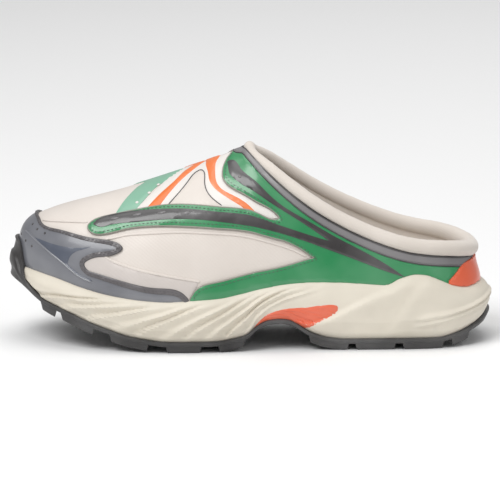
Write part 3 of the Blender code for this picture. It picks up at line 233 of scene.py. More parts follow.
CAGE = [
    [(233.9, 148.7), (228.7, 156), (224.5, 164), (222.7, 172), (223.4, 178.5), (228, 184.8), (239.2, 191.8),
     (259.2, 203.4), (273.9, 212.3), (278.6, 216.6), (276, 219.9), (262.4, 216), (236, 208.7), (202.4, 205.5),
     (161.6, 205.5), (137.1, 209.6), (110.6, 215.2), (93.3, 221.3), (89.2, 226.5), (93.3, 232.6),
     (105.5, 233.9), (125.9, 229.2), (161.6, 226), (202.4, 227.6), (236, 230), (272.9, 238.1),
     (299.2, 248.1), (313.5, 257.8)],
    [(313.5, 257.8), (281.9, 266.7), (250, 273.6), (215.2, 282.6), (196.1, 290.6), (190.5, 299.5)],
]
HEEL_PIECE = [(471.2, 250.5), (463, 262.5), (455, 272), (446.5, 281)]
INLAY = [
    [(94.5, 224.6), (100.4, 219.4), (111.7, 215.6), (130, 212.2), (155, 210), (192.2, 209.8), (236, 213.8),
     (273.9, 223.8), (304.4, 234), (328, 240.8)],
    [(328, 240.8), (315, 231.8), (299.2, 221.6), (281, 210.2), (266.4, 200.8), (253.2, 191.6), (244, 186.4),
     (236.6, 181.5), (230, 174.8), (228.3, 167.4), (229.2, 161.5), (234.6, 161.3), (240.7, 169), (247.4, 175.7),
     (256.5, 183), (266.4, 193), (278, 203.4), (294.6, 214.2), (315, 225.6), (336, 237.6), (360.8, 250.6),
     (385, 264.4), (403, 276.8)],
    [(403, 276.8), (377.1, 268.4), (345.5, 256.2), (320.2, 247), (288.7, 236.2), (246.6, 226),
     (202.4, 220.4), (161.6, 220.4), (130, 223.2), (111.7, 225.7), (101.4, 227.4), (94.5, 224.6)],
]
# Those over the ridge go up the front edge, down the back edge and along the foot
SADDLE = [
    [(137, 209.5), (150, 195.5), (163, 183), (177, 172), (193, 160), (203, 154)],
    [(236, 146), (231.5, 153), (225, 163), (222.5, 173), (224, 181), (229, 188), (244, 196.5), (262, 207),
     (275, 215), (277.5, 218.5)],
    [(277.5, 218.5), (268, 219), (236, 212), (202.4, 209), (161.6, 209), (137, 209.5)],
]
SADDLE_PANEL = [
    [(167, 208.5), (178.5, 194), (188.5, 182), (195, 174.2), (200, 170.9), (204.2, 173), (204.8, 181),
     (207, 190), (212, 197.6), (222.4, 206), (228, 210.5)],
    [(228, 210.5), (202.4, 209), (167, 208.5)],
]
PANEL_SEAM = [(168.9, 205.3), (179.1, 193.8), (189.3, 181), (195.7, 173.4), (200.6, 170.6), (204.6, 172.7),
              (205, 181), (206.4, 189.5), (211.6, 197.6), (222.4, 206.5)]
STRIPE_FRONT = [
    [(147.2, 209), (161.2, 193.8), (176.5, 179.7), (189.3, 168.5), (203, 158.5)],
    [(205.5, 160.5), (196.9, 167.5), (182.6, 179.7), (169.9, 193.8), (158.5, 209)],
    [(158.5, 209), (147.2, 209)],
]
STRIPE_REAR = [
    [(250.5, 215), (244.1, 209.1), (232.7, 201.4), (222.4, 195), (214.8, 188.7), (209.7, 181), (208.4, 173.4),
     (209.9, 160), (214, 151.5)],
    [(220.5, 150), (216.8, 161.5), (215.4, 173.4), (217.3, 183.6), (222.4, 189.9), (233.9, 196.3),
     (244.1, 202.1), (251.8, 208.6), (259, 216.5)],
    [(259, 216.5), (250.5, 215)],
]
PATCH = [
    [(116, 215), (125.5, 200.2), (133.2, 191.2), (142.1, 184), (153.6, 177.5), (168, 170.5), (181, 165.5)],
    [(186, 167.5), (171.4, 177.9), (158.7, 185.4), (148.5, 195.6), (136, 211)],
    [(136, 211), (116, 215)],
]
PATCH_DOTS = [(137.9, 202.9), (149.9, 193.3), (158.7, 185)]
INLAY_SLOTS = [(116, 219.6), (138.5, 215.8), (162.5, 213.9), (186, 214.2)]
RIVET = [(240, 178.2)]
# Places of the pinholes, each drawn as a dark disc that paints the shade inside the hole
CAP_HOLES = [(33.2, 224.1), (38.4, 229.2), (46.2, 233.2), (21.5, 233.5), (26.3, 240.4), (32.7, 246)]

# Seams drawn on the cloth: a raised welt each
WELTS = [
    [(104, 239.5), (112, 238.6), (125.9, 235.4), (141.2, 233.9), (161.6, 232.9), (182, 232.4), (202.4, 233),
     (222.9, 234), (250, 237.4), (275, 244), (296, 251.5), (306, 256.5)],
    [(103, 253.5), (112.1, 260), (125.9, 265.6), (141.2, 270.2), (156.5, 273.8), (171.8, 276.8),
     (187.1, 279.4), (201, 281.6)],
    [(43, 219.6), (63.8, 221.2), (89.3, 222)],
]
MUDGUARD = [
    [(80, 268), (84, 256), (93, 250), (103, 253.8), (112.1, 261.2), (125.9, 266.8), (141.2, 271.4), (156.5, 275),
     (171.8, 278), (187.1, 280.6),
     (199, 282.4)],
    [(199, 282.4), (190.5, 299.5)],
]

# The studio
Light = namedtuple("Light", "name place size power")
LIGHTS = (
    Light("key", (-0.7, -1.0, 1.5), 1.0, 22.0),
    Light("fill", (1.3, -1.1, 0.9), 1.2, 4.0),
    Light("top", (0.1, 0.1, 1.9), 1.4, 12.0),
    Light("rim", (0.4, 1.3, 1.3), 1.2, 5.0),
)
LIGHT_AIM = Vector((0, 0, 0.05))
WORLD_LIGHT = 0.32
PAPER = (0.92, 0.92, 0.92, 1)
FLOOR_REACH = 12.0
CAMERA_DISTANCE = 3.2
SENSOR = 36.0

# Fineness of the meshes
FORE_COLUMNS = 84
REAR_COLUMNS = 84
RIM_ROWS = 6
WALL_ROWS = 46
OUTLINE_STEP = 0.0012
FILL_STEP = 0.0021
INSERT_FILL_STEP = 0.0016
BEAD_SIDES = 8
ROLL_SIDES = 26
MERGE = 2e-6
CREASE = math.radians(38)
SHELL_CREASE = math.radians(50)
EDGE_DROP = 0.55  # share of a layer's thickness by which its top edge is rounded down
BAND_STEPS = 110
BAND_TURNS = 40


# Settings that a user would change

def colour_setting(name, description, value):
    return bpy.props.FloatVectorProperty(
        name=name, description=description, default=value, subtype="COLOR", size=3, min=0.0, max=1.0)


def length_setting(name, description, value):
    return bpy.props.FloatProperty(
        name=name, description=description, default=value, unit="LENGTH", subtype="DISTANCE", min=0.0)


class SneakerSizes(bpy.types.PropertyGroup):
    """Thicknesses and spacings of the shoe's visible layers."""

    film: length_setting("Film", "Thickness of the moulded film layers", 0.0010)
    inlay: length_setting("Inlay", "Thickness of the dark inlays over the cage", 0.0006)
    print_layer: length_setting("Print", "Thickness of the stripes and the patch", 0.0003)
    roll_front: length_setting("Roll at the throat", "Radius of the collar's padding at the throat", 0.0036)
    roll_back: length_setting("Roll at the heel", "Radius of the collar's padding at the heel", 0.0052)
    stitch: length_setting("Stitch", "Length of a stitch", 0.0016)
    stitch_gap: length_setting("Stitch pitch", "Distance from one stitch to the next", 0.0025)
    thread: length_setting("Thread", "Thickness of the thread", 0.00042)
    pinhole: length_setting("Pinhole", "Radius of the toe cap's holes", 0.0008)
    carving: length_setting("Carving", "Depth of the midsole's carved ridges", 0.0032)


class SneakerColours(bpy.types.PropertyGroup):
    """Colours of the shoe's materials."""

    cloth: colour_setting("Cloth", "Vamp and quarter", (0.72, 0.655, 0.60))
    mudguard: colour_setting("Mudguard", "Cloth along the sole", (0.60, 0.545, 0.51))
    saddle: colour_setting("Saddle", "White bands over the instep", (0.78, 0.74, 0.70))
    lining: colour_setting("Lining", "Collar roll and inside", (0.70, 0.635, 0.57))
    foam: colour_setting("Foam", "Midsole", (0.735, 0.675, 0.565))
    rubber: colour_setting("Rubber", "Outsole", (0.028, 0.026, 0.026))
    green: colour_setting("Green", "Cage", (0.009, 0.245, 0.075))
    patch: colour_setting("Pale green", "Patch on the vamp", (0.23, 0.47, 0.335))
    orange: colour_setting("Orange", "Stripes", (0.84, 0.19, 0.035))
    insert: colour_setting("Deep orange", "Arch inserts and heel piece", (0.79, 0.105, 0.025))
    cap: colour_setting("Cap", "Toe cap", (0.155, 0.160, 0.182))
    # Painted shade: the darker blue-grey of the cap's hollow and of its fold stands for the shade in them
    cap_painted_shade: colour_setting("Cap's hollow", "Darker hollow on the toe cap", (0.062, 0.075, 0.110))
    # Dark film: the own colour of the inlays and piping; on the pinholes' discs it is painted shade
    dark: colour_setting("Dark film", "Inlays, piping and pinholes", (0.024, 0.020, 0.021))
    band: colour_setting("Band", "Band under the collar's roll", (0.205, 0.195, 0.200))
    border: colour_setting("Border", "Band along the toe cap's edge", (0.105, 0.095, 0.100))
    # Edging round the cage: a margin of the film, whose darker grey also paints the shadow the cage's edge casts on
    # the cloth
    edging_and_shadow: colour_setting("Edging", "Piping round the cage", (0.27, 0.26, 0.22))
    thread: colour_setting("Thread", "Stitches on the cap", (0.085, 0.080, 0.085))


# Curves through table rows

def cubic(knots, values, period=None):
    """A smooth curve through values at knots: closed with a period, or free at both ends without one."""
    t = np.asarray(knots, float)
    y = np.asarray(values, float).reshape(len(t), -1)
    if period:
        t = np.append(t, t[0] + period)
        y = np.vstack([y, y[:1]])
    n = len(t)
    h = np.diff(t)
    slope = np.diff(y, axis=0) / h[:, None]
    matrix = np.zeros((n, n))
    right = np.zeros((n, y.shape[1]))
    for i in range(1, n - 1):
        matrix[i, i - 1:i + 2] = h[i - 1], 2 * (h[i - 1] + h[i]), h[i]
        right[i] = 6 * (slope[i] - slope[i - 1])
    if period:
        matrix[0, 0], matrix[0, 1], matrix[0, n - 2] = 2 * (h[-1] + h[0]), h[0], h[-1]
        right[0] = 6 * (slope[0] - slope[-1])
        matrix[-1, 0], matrix[-1, -1] = -1.0, 1.0
    else:
        matrix[0, 0] = matrix[-1, -1] = 1.0
    bend = np.linalg.solve(matrix, right)

    def curve(u):
        u = np.asarray(u, float)
        if period:
            u = t[0] + np.mod(u - t[0], period)
        i = np.clip(np.searchsorted(t, u, side="right") - 1, 0, n - 2)
        a = (t[i + 1] - u) / h[i]
        b = 1 - a
        step = (h[i] ** 2 / 6)[..., None]
        return (a[..., None] * y[i] + b[..., None] * y[i + 1]
                + ((a ** 3 - a)[..., None] * bend[i] + (b ** 3 - b)[..., None] * bend[i + 1]) * step)

    return curve


def height_at(table, size, x):
    """The height that a table of shares of one size gives at x, with no overshoot between its rows."""
    at = np.array([row[0] for row in table])
    value = np.array([row[1] for row in table])
    step = np.diff(at)
    slope = np.diff(value) / step
    tangent = np.zeros(len(at))
    for i in range(1, len(at) - 1):
        if slope[i - 1] * slope[i] > 0:
            w1, w2 = 2 * step[i] + step[i - 1], step[i] + 2 * step[i - 1]
            tangent[i] = (w1 + w2) / (w1 / slope[i - 1] + w2 / slope[i])
    share = np.clip(np.asarray(x, float) / LENGTH + 0.5, at[0], at[-1])
    i = np.clip(np.searchsorted(at, share, side="right") - 1, 0, len(at) - 2)
    f = (share - at[i]) / step[i]
    return size * (value[i] * (1 + 2 * f) * (1 - f) ** 2 + tangent[i] * step[i] * f * (1 - f) ** 2
                   + value[i + 1] * f * f * (3 - 2 * f) + tangent[i + 1] * step[i] * f * f * (f - 1))


def smooth(f):
    f = np.clip(f, 0.0, 1.0)
    return f * f * (3 - 2 * f)


def unit(vectors):
    return vectors / np.maximum(np.linalg.norm(vectors, axis=-1, keepdims=True), 1e-12)


# The last: v runs round the shoe, 0 at the toe, 0 to 1 up the lateral side, 1 at the heel, 2 back at the toe

def around(pick_lateral, pick_medial):
    return ([pick_lateral(row) for row in SECTIONS]
            + [pick_medial(row) for row in reversed(SECTIONS[1:-1])])


def plan(row, side):
    half = -row.lateral if side > 0 else row.medial
    return ((row.along - 0.5) * LENGTH, half * BALL_WIDTH)


def row_knots():
    travelled = [0.0]
    for a, b in zip(SECTIONS, SECTIONS[1:]):
        steps = [math.dist(plan(a, side), plan(b, side)) for side in (1, -1)]
        travelled.append(travelled[-1] + sum(steps) / 2)
    side = np.array(travelled) / travelled[-1]
    return np.concatenate([side, 2 - side[1:-1][::-1]])


def top_of(row, side):
    half = -row.top_lateral if side > 0 else row.top_medial
    low = TOE_HEIGHT if SECTIONS.index(row) < THROAT_ROW else HEEL_HEIGHT
    return ((row.top_along - 0.5) * LENGTH, half * BALL_WIDTH, low + row.top_rise * (INSTEP_HEIGHT - low))


KNOTS = row_knots()
THROAT = float(KNOTS[THROAT_ROW])
OUTLINE = cubic(KNOTS, around(lambda r: plan(r, 1), lambda r: plan(r, -1)), 2.0)
SHAPE = cubic(KNOTS, around(*[lambda r: (r.feather, r.rise, r.swell, r.flat, r.steep)] * 2), 2.0)
RIDGE = cubic(KNOTS[:THROAT_ROW + 1], [top_of(r, 1) for r in SECTIONS[:THROAT_ROW + 1]])
COLLAR_KNOTS = KNOTS[(KNOTS >= THROAT) & (KNOTS < 2 - THROAT - 1e-9)]
COLLAR = cubic(
    COLLAR_KNOTS,
    [top_of(r, 1) for r in SECTIONS[THROAT_ROW:]] + [top_of(r, -1) for r in reversed(SECTIONS[THROAT_ROW + 1:-1])],
    2 - 2 * THROAT,
)


def middle_of_outline():
    y = OUTLINE(np.linspace(0, 2, 721))[:, 1]
    return (y.max() + y.min()) / 2


MIDDLE = middle_of_outline()


def outline(v):
    """The sole's outline in plan."""
    return OUTLINE(v) - (0.0, MIDDLE)


def outward(v):
    """The unit direction out of the outline, in plan, with a zero height."""
    step = 1e-4
    d = OUTLINE(v + step) - OUTLINE(v - step)
    return unit(np.stack([d[..., 1], -d[..., 0], np.zeros(d.shape[:-1])], axis=-1))


def side_place(v):
    return np.minimum(np.mod(v, 2), 2 - np.mod(v, 2))


def top(v):
    """Where the section at v ends: on the vamp's ridge, or on the collar's edge behind the throat."""
    u = side_place(v)
    on_ridge = (u <= THROAT)[..., None]
    return np.where(on_ridge, RIDGE(np.minimum(u, THROAT)), COLLAR(np.mod(v, 2))) - (0.0, MIDDLE, 0.0)


def ridge_slope(v):
    """Rise of the ridge for each step back along it, fading out behind the throat."""
    u = np.clip(side_place(v), 0.0, THROAT)
    step = 1e-3
    d = RIDGE(np.minimum(u + step, THROAT)) - RIDGE(np.maximum(u - step, 0.0))
    fade = 1 - smooth((side_place(v) - THROAT) / (KNOTS[THROAT_ROW + 1] - THROAT))
    return d[..., 2] / np.maximum(d[..., 0], 1e-9) * fade


def cup_floor(x):
    return height_at(CUP_FLOOR, FOOTBED_HEIGHT, x)


def rim_height(x):
    return height_at(RIM, RIM_HEIGHT, x)


def ground(x):
    """The lugs' underside."""
    return (height_at(TOE_LIFT, TOE_SPRING, x) + height_at(ARCH_LIFT, ARCH_RISE, x)
            + height_at(HEEL_LIFT, HEEL_BEVEL, x))


def base_height(x):
    """The midsole's underside."""
    return ground(x) + LUG_DEPTH + PLATE


def with_height(flat, z):
    return np.stack([flat[..., 0], flat[..., 1], np.broadcast_to(z, flat.shape[:-1])], axis=-1)


def plain_surface(v, s):
    """The upper's outer surface as its sections give it."""
    v, s = np.broadcast_arrays(np.asarray(v, float), np.asarray(s, float))
    over = s > 1
    v = np.where(over, -v, v)
    s = np.where(over, 2 - s, s)
    feather, rise, swell, flat, steep = np.moveaxis(SHAPE(v), -1, 0)
    out = outward(v)
    start = with_height(outline(v), 0.0) - out * (feather * FEATHER_INSET)[..., None]
    start[..., 2] = cup_floor(start[..., 0]) + CLEARANCE
    end = top(v)
    tall = (end - start)[..., 2]
    up = np.array([0.0, 0.0, 1.0])
    first = start + up * (rise * tall)[..., None] + out * (swell * FEATHER_INSET)[..., None]
    run = (start - end) * (1.0, 1.0, 0.0) * flat[..., None]
    last = end + run + up * (ridge_slope(v) * run[..., 0] - steep * tall)[..., None]
    s = s[..., None]
    r = 1 - s
    return r ** 3 * start + 3 * r * r * s * first + 3 * r * s * s * last + s ** 3 * end


def surface(v, s):
    """The upper's outer surface: s is 0 at the feather line, 1 at the ridge or collar, over 1 past the ridge."""
    v, s = np.broadcast_arrays(np.asarray(v, float), np.asarray(s, float))
    reach = np.exp(-((side_place(v) - THROAT) / 0.05) ** 2) * smooth(np.abs(1 - s) / 0.25) * THROAT_BLEND
    found = plain_surface(v, s)
    near = reach > 1e-4
    if near.any():
        blended = 0.0
        for shift, weight in ((-1.0, 1), (-0.5, 2), (0.0, 3), (0.5, 2), (1.0, 1)):
            blended = blended + plain_surface(v[near] + shift * reach[near], s[near]) * (weight / 9)
        found[near] = blended
    return found


def normal(v, s):
    """The unit normal out of the upper's surface. The two sides of the ridge share one."""
    step = 1e-4
    v, s = np.broadcast_arrays(np.asarray(v, float), np.asarray(s, float))
    over = s > 1
    v = np.where(over, -v, v)
    s = np.clip(np.where(over, 2 - s, s), step, 0.999)

    def one_side(w):
        return unit(np.cross(surface(w + step, s) - surface(w - step, s),
                             surface(w, s + step) - surface(w, s - step)))

    at_ridge = ((s >= 0.999) & (side_place(v) <= THROAT))[..., None]
    own = one_side(v)
    return np.where(at_ridge, unit(own + one_side(-v)), own)


def skin(v, s, offset):
    """The surface moved out along its normal by an offset."""
    return surface(v, s) + normal(v, s) * np.asarray(offset)[..., None]


def place_at_height(v, z):
    """The s at which the surface passes height z."""
    low, high = np.zeros_like(v), np.ones_like(v)
    for _ in range(30):
        middle = (low + high) / 2
        above = surface(v, middle)[..., 2] > z
        high = np.where(above, middle, high)
        low = np.where(above, low, middle)
    return (low + high) / 2


def columns():
    """The places round the shoe where pieces have their vertices, closer at toe, throat and heel."""
    def eased(count):
        f = np.arange(count) / count
        return f - 0.35 * np.sin(2 * math.pi * f) / (2 * math.pi)

    side = np.concatenate([THROAT * eased(FORE_COLUMNS), THROAT + (1 - THROAT) * eased(REAR_COLUMNS), [1.0]])
    return np.concatenate([side, 2 - side[1:-1][::-1]])


V = columns()
RIM_S = place_at_height(V, rim_height(outline(V)[:, 0]))


# The drawn side view, traced back onto the last

def drawn_place(point):
    """Where a point of the shoe lies in the drawn side view."""
    up = math.cos(DRAWN_TILT) * point[..., 2] + math.sin(DRAWN_TILT) * point[..., 1]
    return np.stack([DRAWN_TOE + DRAWN_LENGTH * (point[..., 0] / LENGTH + 0.5),
                     DRAWN_FLOOR - up / METRES_PER_PIXEL], axis=-1)


def drawing_grid(lift):
    """Places of the lateral surface, lifted, in the drawn side view, with their v and s."""
    v, s = np.meshgrid(np.linspace(0.0, 1.0, 620), np.linspace(0.0, 1.0, 240), indexing="ij")
    place = drawn_place(skin(v, s, np.full(v.shape, lift)))
    facing = normal(v, s) @ np.array([0.0, -math.cos(DRAWN_TILT), math.sin(DRAWN_TILT)])
    seen = facing > 0.02
    return place[seen], np.stack([v[seen], s[seen]], axis=-1)


DRAWINGS = {lift: drawing_grid(lift) for lift in (FILM_LIFT, CLOTH_LIFT)}
SPREAD = np.array([1.12 * LENGTH, 0.85 * BALL_WIDTH])
LOOK_AHEAD = 0.004


def traced(points, lift=FILM_LIFT):
    """v and s on the lateral side for places in the drawn side view."""
    places, spots = DRAWINGS[lift]
    found = []
    for p in np.asarray(points, float):
        distance = ((places - p) ** 2).sum(axis=1)
        near = np.argpartition(distance, 5)[:6]
        weight = 1 / (distance[near] + 1e-3)
        found.append((spots[near] * weight[:, None]).sum(axis=0) / weight.sum())
    return np.array(found)


def resampled(points, step, closed=False):
    """Points spaced evenly on a smooth curve through a short list of points."""
    p = np.asarray(points, float)
    gaps = np.linalg.norm(np.diff(p, axis=0), axis=1)
    if closed:
        gaps = np.append(gaps, np.linalg.norm(p[0] - p[-1]))
        curve = cubic(np.concatenate([[0], np.cumsum(gaps)[:-1]]), p, gaps.sum())
        count = max(3, int(round(gaps.sum() / step)))
        return curve(np.arange(count) * gaps.sum() / count)
    if len(p) == 2:
        return np.linspace(p[0], p[1], max(2, int(round(gaps[0] / step)) + 1))
    curve = cubic(np.concatenate([[0], np.cumsum(gaps)]), p)
    count = max(3, int(round(gaps.sum() / step)))
    return curve(np.linspace(0, gaps.sum() - 1e-12, count + 1))


def strokes_path(strokes, lift=FILM_LIFT):
    """A path in v and s through strokes of the drawn side view, each smooth, meeting at corners."""
    path = []
    for stroke in strokes:
        path.append(resampled(traced(stroke, lift) * SPREAD, OUTLINE_STEP)[:-1])
    path.append(traced([strokes[-1][-1]], lift) * SPREAD)
    return np.vstack(path) / SPREAD


def strokes_loop(strokes, lift=FILM_LIFT):
    """A closed loop in v and s, where the last stroke ends at the first one's start."""
    return strokes_path(strokes, lift)[:-1]


def to_ridge(path):
    """A path that climbs the lateral side, ended exactly on the ridge."""
    near = path[:, 1] > 0.955
    end = max(8, int(np.argmax(near)) if near.any() else len(path))
    path = path[:end]
    lean = (path[-1, 0] - path[-7, 0]) / max(path[-1, 1] - path[-7, 1], 1e-3)
    left = 1 - path[-1, 1]
    last = (path[-1, 0] + np.clip(lean * left, -0.012, 0.012), 1.0)
    count = max(2, int(math.ceil(left * SPREAD[1] / OUTLINE_STEP)))
    return np.vstack([path, np.linspace(path[-1], last, count + 1)[1:]])


def over_ridge(strokes, lift=CLOTH_LIFT):
    """A closed loop over the ridge from strokes up the front edge, down the back edge and along the foot."""
    front = to_ridge(strokes_path(strokes[:1], lift))
    back = to_ridge(strokes_path([strokes[1][::-1]], lift))[::-1]
    foot = strokes_path(strokes[2:], lift)[1:-1]
    half = np.vstack([back, foot, front])
    other = (half * (1, -1) + (0, 2))[::-1]
    return np.vstack([half, other[1:-1]])


def edge_strip(path, width):
    """A closed loop between a path and the same path moved to its right by a width, folds left out."""
    flat = path * SPREAD
    along = unit(np.gradient(flat, axis=0))
    moved = flat + np.stack([along[:, 1], -along[:, 0]], axis=-1) * width
    inner = resampled(moved[near_edge(moved, flat) > 0.93 * width], OUTLINE_STEP)
    return np.vstack([flat, inner[::-1]]) / SPREAD


def mirrored(spots):
    return np.asarray(spots) * (-1.0, 1.0)


def on_side(spots, side):
    return spots if side > 0 else mirrored(spots)


def both_sides(spots):
    return [(side_name, on_side(spots, side)) for side_name, side in SIDES]


def rim_line(v_from, v_to, over):
    """Places just over the midsole's rim, from one v to another."""
    count = max(2, int(round(abs(v_to - v_from) * SPREAD[0] / OUTLINE_STEP)))
    v = np.linspace(v_from, v_to, count + 1)
    return np.stack([v, place_at_height(v, rim_height(outline(v)[:, 0]) + over)], axis=-1)


def collar_reach(v):
    """Metres along the section for each step of s, just under the collar's edge."""
    return np.linalg.norm(surface(v, np.ones_like(v)) - surface(v, np.full_like(v, 0.94)), axis=-1) / 0.06


REACH_AT = np.linspace(THROAT, 1.0, 200)
REACH = collar_reach(REACH_AT)


def heel_line(distance):
    """v where the heel piece's front edge lies at a distance from the collar's edge."""
    curve = strokes_path([HEEL_PIECE])
    s = 1 - distance / np.interp(curve[:, 0], REACH_AT, REACH)
    over = curve[:, 1] - s
    return float(np.interp(0.0, -over, curve[:, 0])) if over[0] > 0 else float(curve[0, 0])


def collar_ring(distance, start=1.0):
    """Places round the opening, a distance from its edge, from the back up the medial side and over."""
    side = start - (start - THROAT) * np.arange(BAND_STEPS) / BAND_STEPS
    medial = np.stack([side, 1 + distance / np.interp(side, REACH_AT, REACH)], axis=-1)
    angle = math.pi / 2 - math.pi * np.arange(BAND_TURNS + 1) / BAND_TURNS
    ahead = np.linalg.norm(RIDGE(THROAT) - RIDGE(THROAT - 0.02)) / 0.02
    front = np.stack([THROAT - distance * np.cos(angle) / ahead,
                      1 + distance * np.sin(angle) / REACH[0]], axis=-1)
    lateral = (medial * (1, -1) + (0, 2))[::-1]
    return np.vstack([medial, front, lateral])


def under_band(spots, distance):
    """Which places on the lateral side lie further than a distance from the collar's edge."""
    ring = collar_ring(distance)
    lateral = ring[ring[:, 1] <= 1.0]
    lateral = lateral[np.argsort(lateral[:, 0])]
    ahead = spots[:, 0] < lateral[0, 0]
    return ahead | (spots[:, 1] < np.interp(spots[:, 0], lateral[:, 0], lateral[:, 1]))


def band_line(v_from, v_to, distance):
    """Places along the band, at a distance from the collar's edge, from one v to another, heel end first."""
    ring = collar_ring(distance)
    lateral = ring[ring[:, 1] <= 1.0]
    lateral = lateral[np.argsort(-lateral[:, 0])]
    kept = lateral[(lateral[:, 0] < v_from) & (lateral[:, 0] > v_to)]
    at = np.interp([v_from, v_to], lateral[::-1, 0], lateral[::-1, 1])
    line = np.vstack([[(v_from, at[0])], kept, [(v_to, at[1])]])
    return resampled(line * SPREAD, OUTLINE_STEP) / SPREAD


def cut_at_band(curve, distance):
    """A curve that runs up to the collar, ended at a distance from the collar's edge."""
    inside = under_band(curve, distance)
    return curve[:int(np.argmin(inside))] if not inside.all() else curve


def heel_seam(shift, distance):
    """The edge between cage and heel piece, from the rim up, moved back by a shift."""
    curve = strokes_path([HEEL_PIECE[::-1]]) + (shift / SPREAD[0], 0.0)
    curve = cut_at_band(curve, distance)
    curve[0] = rim_line(curve[0, 0], 1.0, UNDER_RIM)[0]
    return curve


# Mesh making

def inside_loop(points, loop):
    """Which points lie inside a closed loop."""
    x, y = points[:, 0][:, None], points[:, 1][:, None]
    ax, ay = loop[:, 0], loop[:, 1]
    bx, by = np.roll(ax, -1), np.roll(ay, -1)
    crosses = ((ay > y) != (by > y)) & (x < (bx - ax) * (y - ay) / np.where(by == ay, 1e-12, by - ay) + ax)
    return crosses.sum(axis=1) % 2 == 1


def near_edge(points, edge):
    """Distance from each point to the nearest of an edge's points."""
    found = np.empty(len(points))
    for i in range(0, len(points), 2000):
        part = points[i:i + 2000]
        found[i:i + 2000] = np.sqrt(((part[:, None] - edge[None]) ** 2).sum(axis=-1).min(axis=1))
    return found


def placed(name, data):
    """An object of its own, linked to the scene."""
    made = bpy.data.objects.new(name, data)
    bpy.context.scene.collection.objects.link(made)
    return made


def closed_up(mesh, crease):
    """Merges doubles, turns the faces outwards and shades smooth up to a crease angle."""
    shape = bmesh.new()
    shape.from_mesh(mesh)
    bmesh.ops.remove_doubles(shape, verts=shape.verts, dist=MERGE)
    bmesh.ops.recalc_face_normals(shape, faces=shape.faces)
    shape.to_mesh(mesh)
    shape.free()
    mesh.shade_smooth()
    mesh.set_sharp_from_angle(angle=crease)


def make_object(name, points, faces, material):
    mesh = bpy.data.meshes.new(name)
    mesh.from_pydata([tuple(p) for p in points], [], [tuple(f) for f in faces])
    closed_up(mesh, CREASE)
    mesh.materials.append(material)
    return placed(name, mesh)


def applied(holder):
    """Makes an object's evaluated shape its plain mesh and drops its modifiers."""
    plain = bpy.data.meshes.new_from_object(holder.evaluated_get(bpy.context.evaluated_depsgraph_get()))
    holder.modifiers.clear()
    holder.data = plain
    return holder


def row_faces(rows, count, closed_rows, closed_across=True):
    """Quads between neighbouring rows of places. Either way round can close on itself."""
    faces = []
    for a in range(rows if closed_rows else rows - 1):
        b = (a + 1) % rows
        for i in range(count if closed_across else count - 1):
            j = (i + 1) % count
            faces.append((a * count + i, a * count + j, b * count + j, b * count + i))
    return faces


def shell_faces(triangles, count):
    """Faces of a closed layer: its top, its underside count places on, and a wall round each free edge."""
    faces = [tuple(t) for t in triangles] + [tuple(t[::-1] + count) for t in triangles]
    directed = {(t[i], t[(i + 1) % 3]) for t in triangles for i in range(3)}
    faces += [(b, a, a + count, b + count) for a, b in directed if (b, a) not in directed]
    return faces


def finish_piece(piece, slot, *nodes):
    """Fixes a piece to the shoe's one body, with the solids that it stands for."""
    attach(piece, "root")
    if nodes:
        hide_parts(*nodes)
    return piece


def layer_mesh(loop, fill):
    """Triangles that fill a loop drawn in v and s: places, triangles, and each place's distance to the edge."""
    edge = np.asarray(loop) * SPREAD
    low, high = edge.min(axis=0), edge.max(axis=0)
    across = [np.arange(math.ceil(low[k] / fill), math.floor(high[k] / fill) + 1) * fill for k in (0, 1)]
    grid = np.stack([part.ravel() for part in np.meshgrid(*across, indexing="ij")], axis=-1)
    grid = grid[inside_loop(grid, edge)]
    if len(grid):
        grid = grid[near_edge(grid, edge) > 0.6 * OUTLINE_STEP]
    count = len(edge)
    found = delaunay_2d_cdt([Vector(p) for p in np.vstack([edge, grid])],
                            [(i, (i + 1) % count) for i in range(count)], [], 0, 1e-7)
    flat = np.array([tuple(p) for p in found[0]])
    triangles = np.array([f for f in found[2] if len(f) == 3])
    triangles = triangles[inside_loop(flat[triangles].mean(axis=1), edge)]
    return flat / SPREAD, triangles, near_edge(flat, edge)


def layer(name, loop, low, high, material, rounding):
    """A layer over the upper between two offsets of it, with its top edge rounded over."""
    spots, triangles, depth = layer_mesh(loop, FILL_STEP)
    count = len(spots)
    v, s = spots[:, 0], spots[:, 1]
    round_off = 1 - np.clip(depth / rounding, 0, 1)
    offset = high - (high - low) * EDGE_DROP * round_off ** 2
    points = np.vstack([skin(v, s, offset), skin(v, s, np.full(count, low))])
    return make_object(name, points, shell_faces(triangles, count), material)


def bead(name, spots, radius, offset, material, squash=1.0):
    """A thin round bead along a path in v and s, lying on the upper at an offset, tapered at both ends."""
    v, s = spots[:, 0], spots[:, 1]
    line = skin(v, s, np.full(len(v), offset))
    out = normal(v, s)
    across = unit(np.cross(unit(np.gradient(line, axis=0)), out))
    count = len(line)
    run = np.minimum(np.arange(count), np.arange(count)[::-1]) * OUTLINE_STEP
    size = radius * np.sqrt(np.clip(run / (2 * radius), 0.02, 1))
    rings = []
    for k in range(BEAD_SIDES):
        a = 2 * math.pi * k / BEAD_SIDES
        rings.append(line + across * (size * math.cos(a))[:, None] + out * (size * squash * math.sin(a))[:, None])
    faces = row_faces(BEAD_SIDES, count, True, False)
    faces.append([k * count for k in range(BEAD_SIDES)])
    faces.append([k * count + count - 1 for k in range(BEAD_SIDES)][::-1])
    return make_object(name, np.concatenate(rings), faces, material)


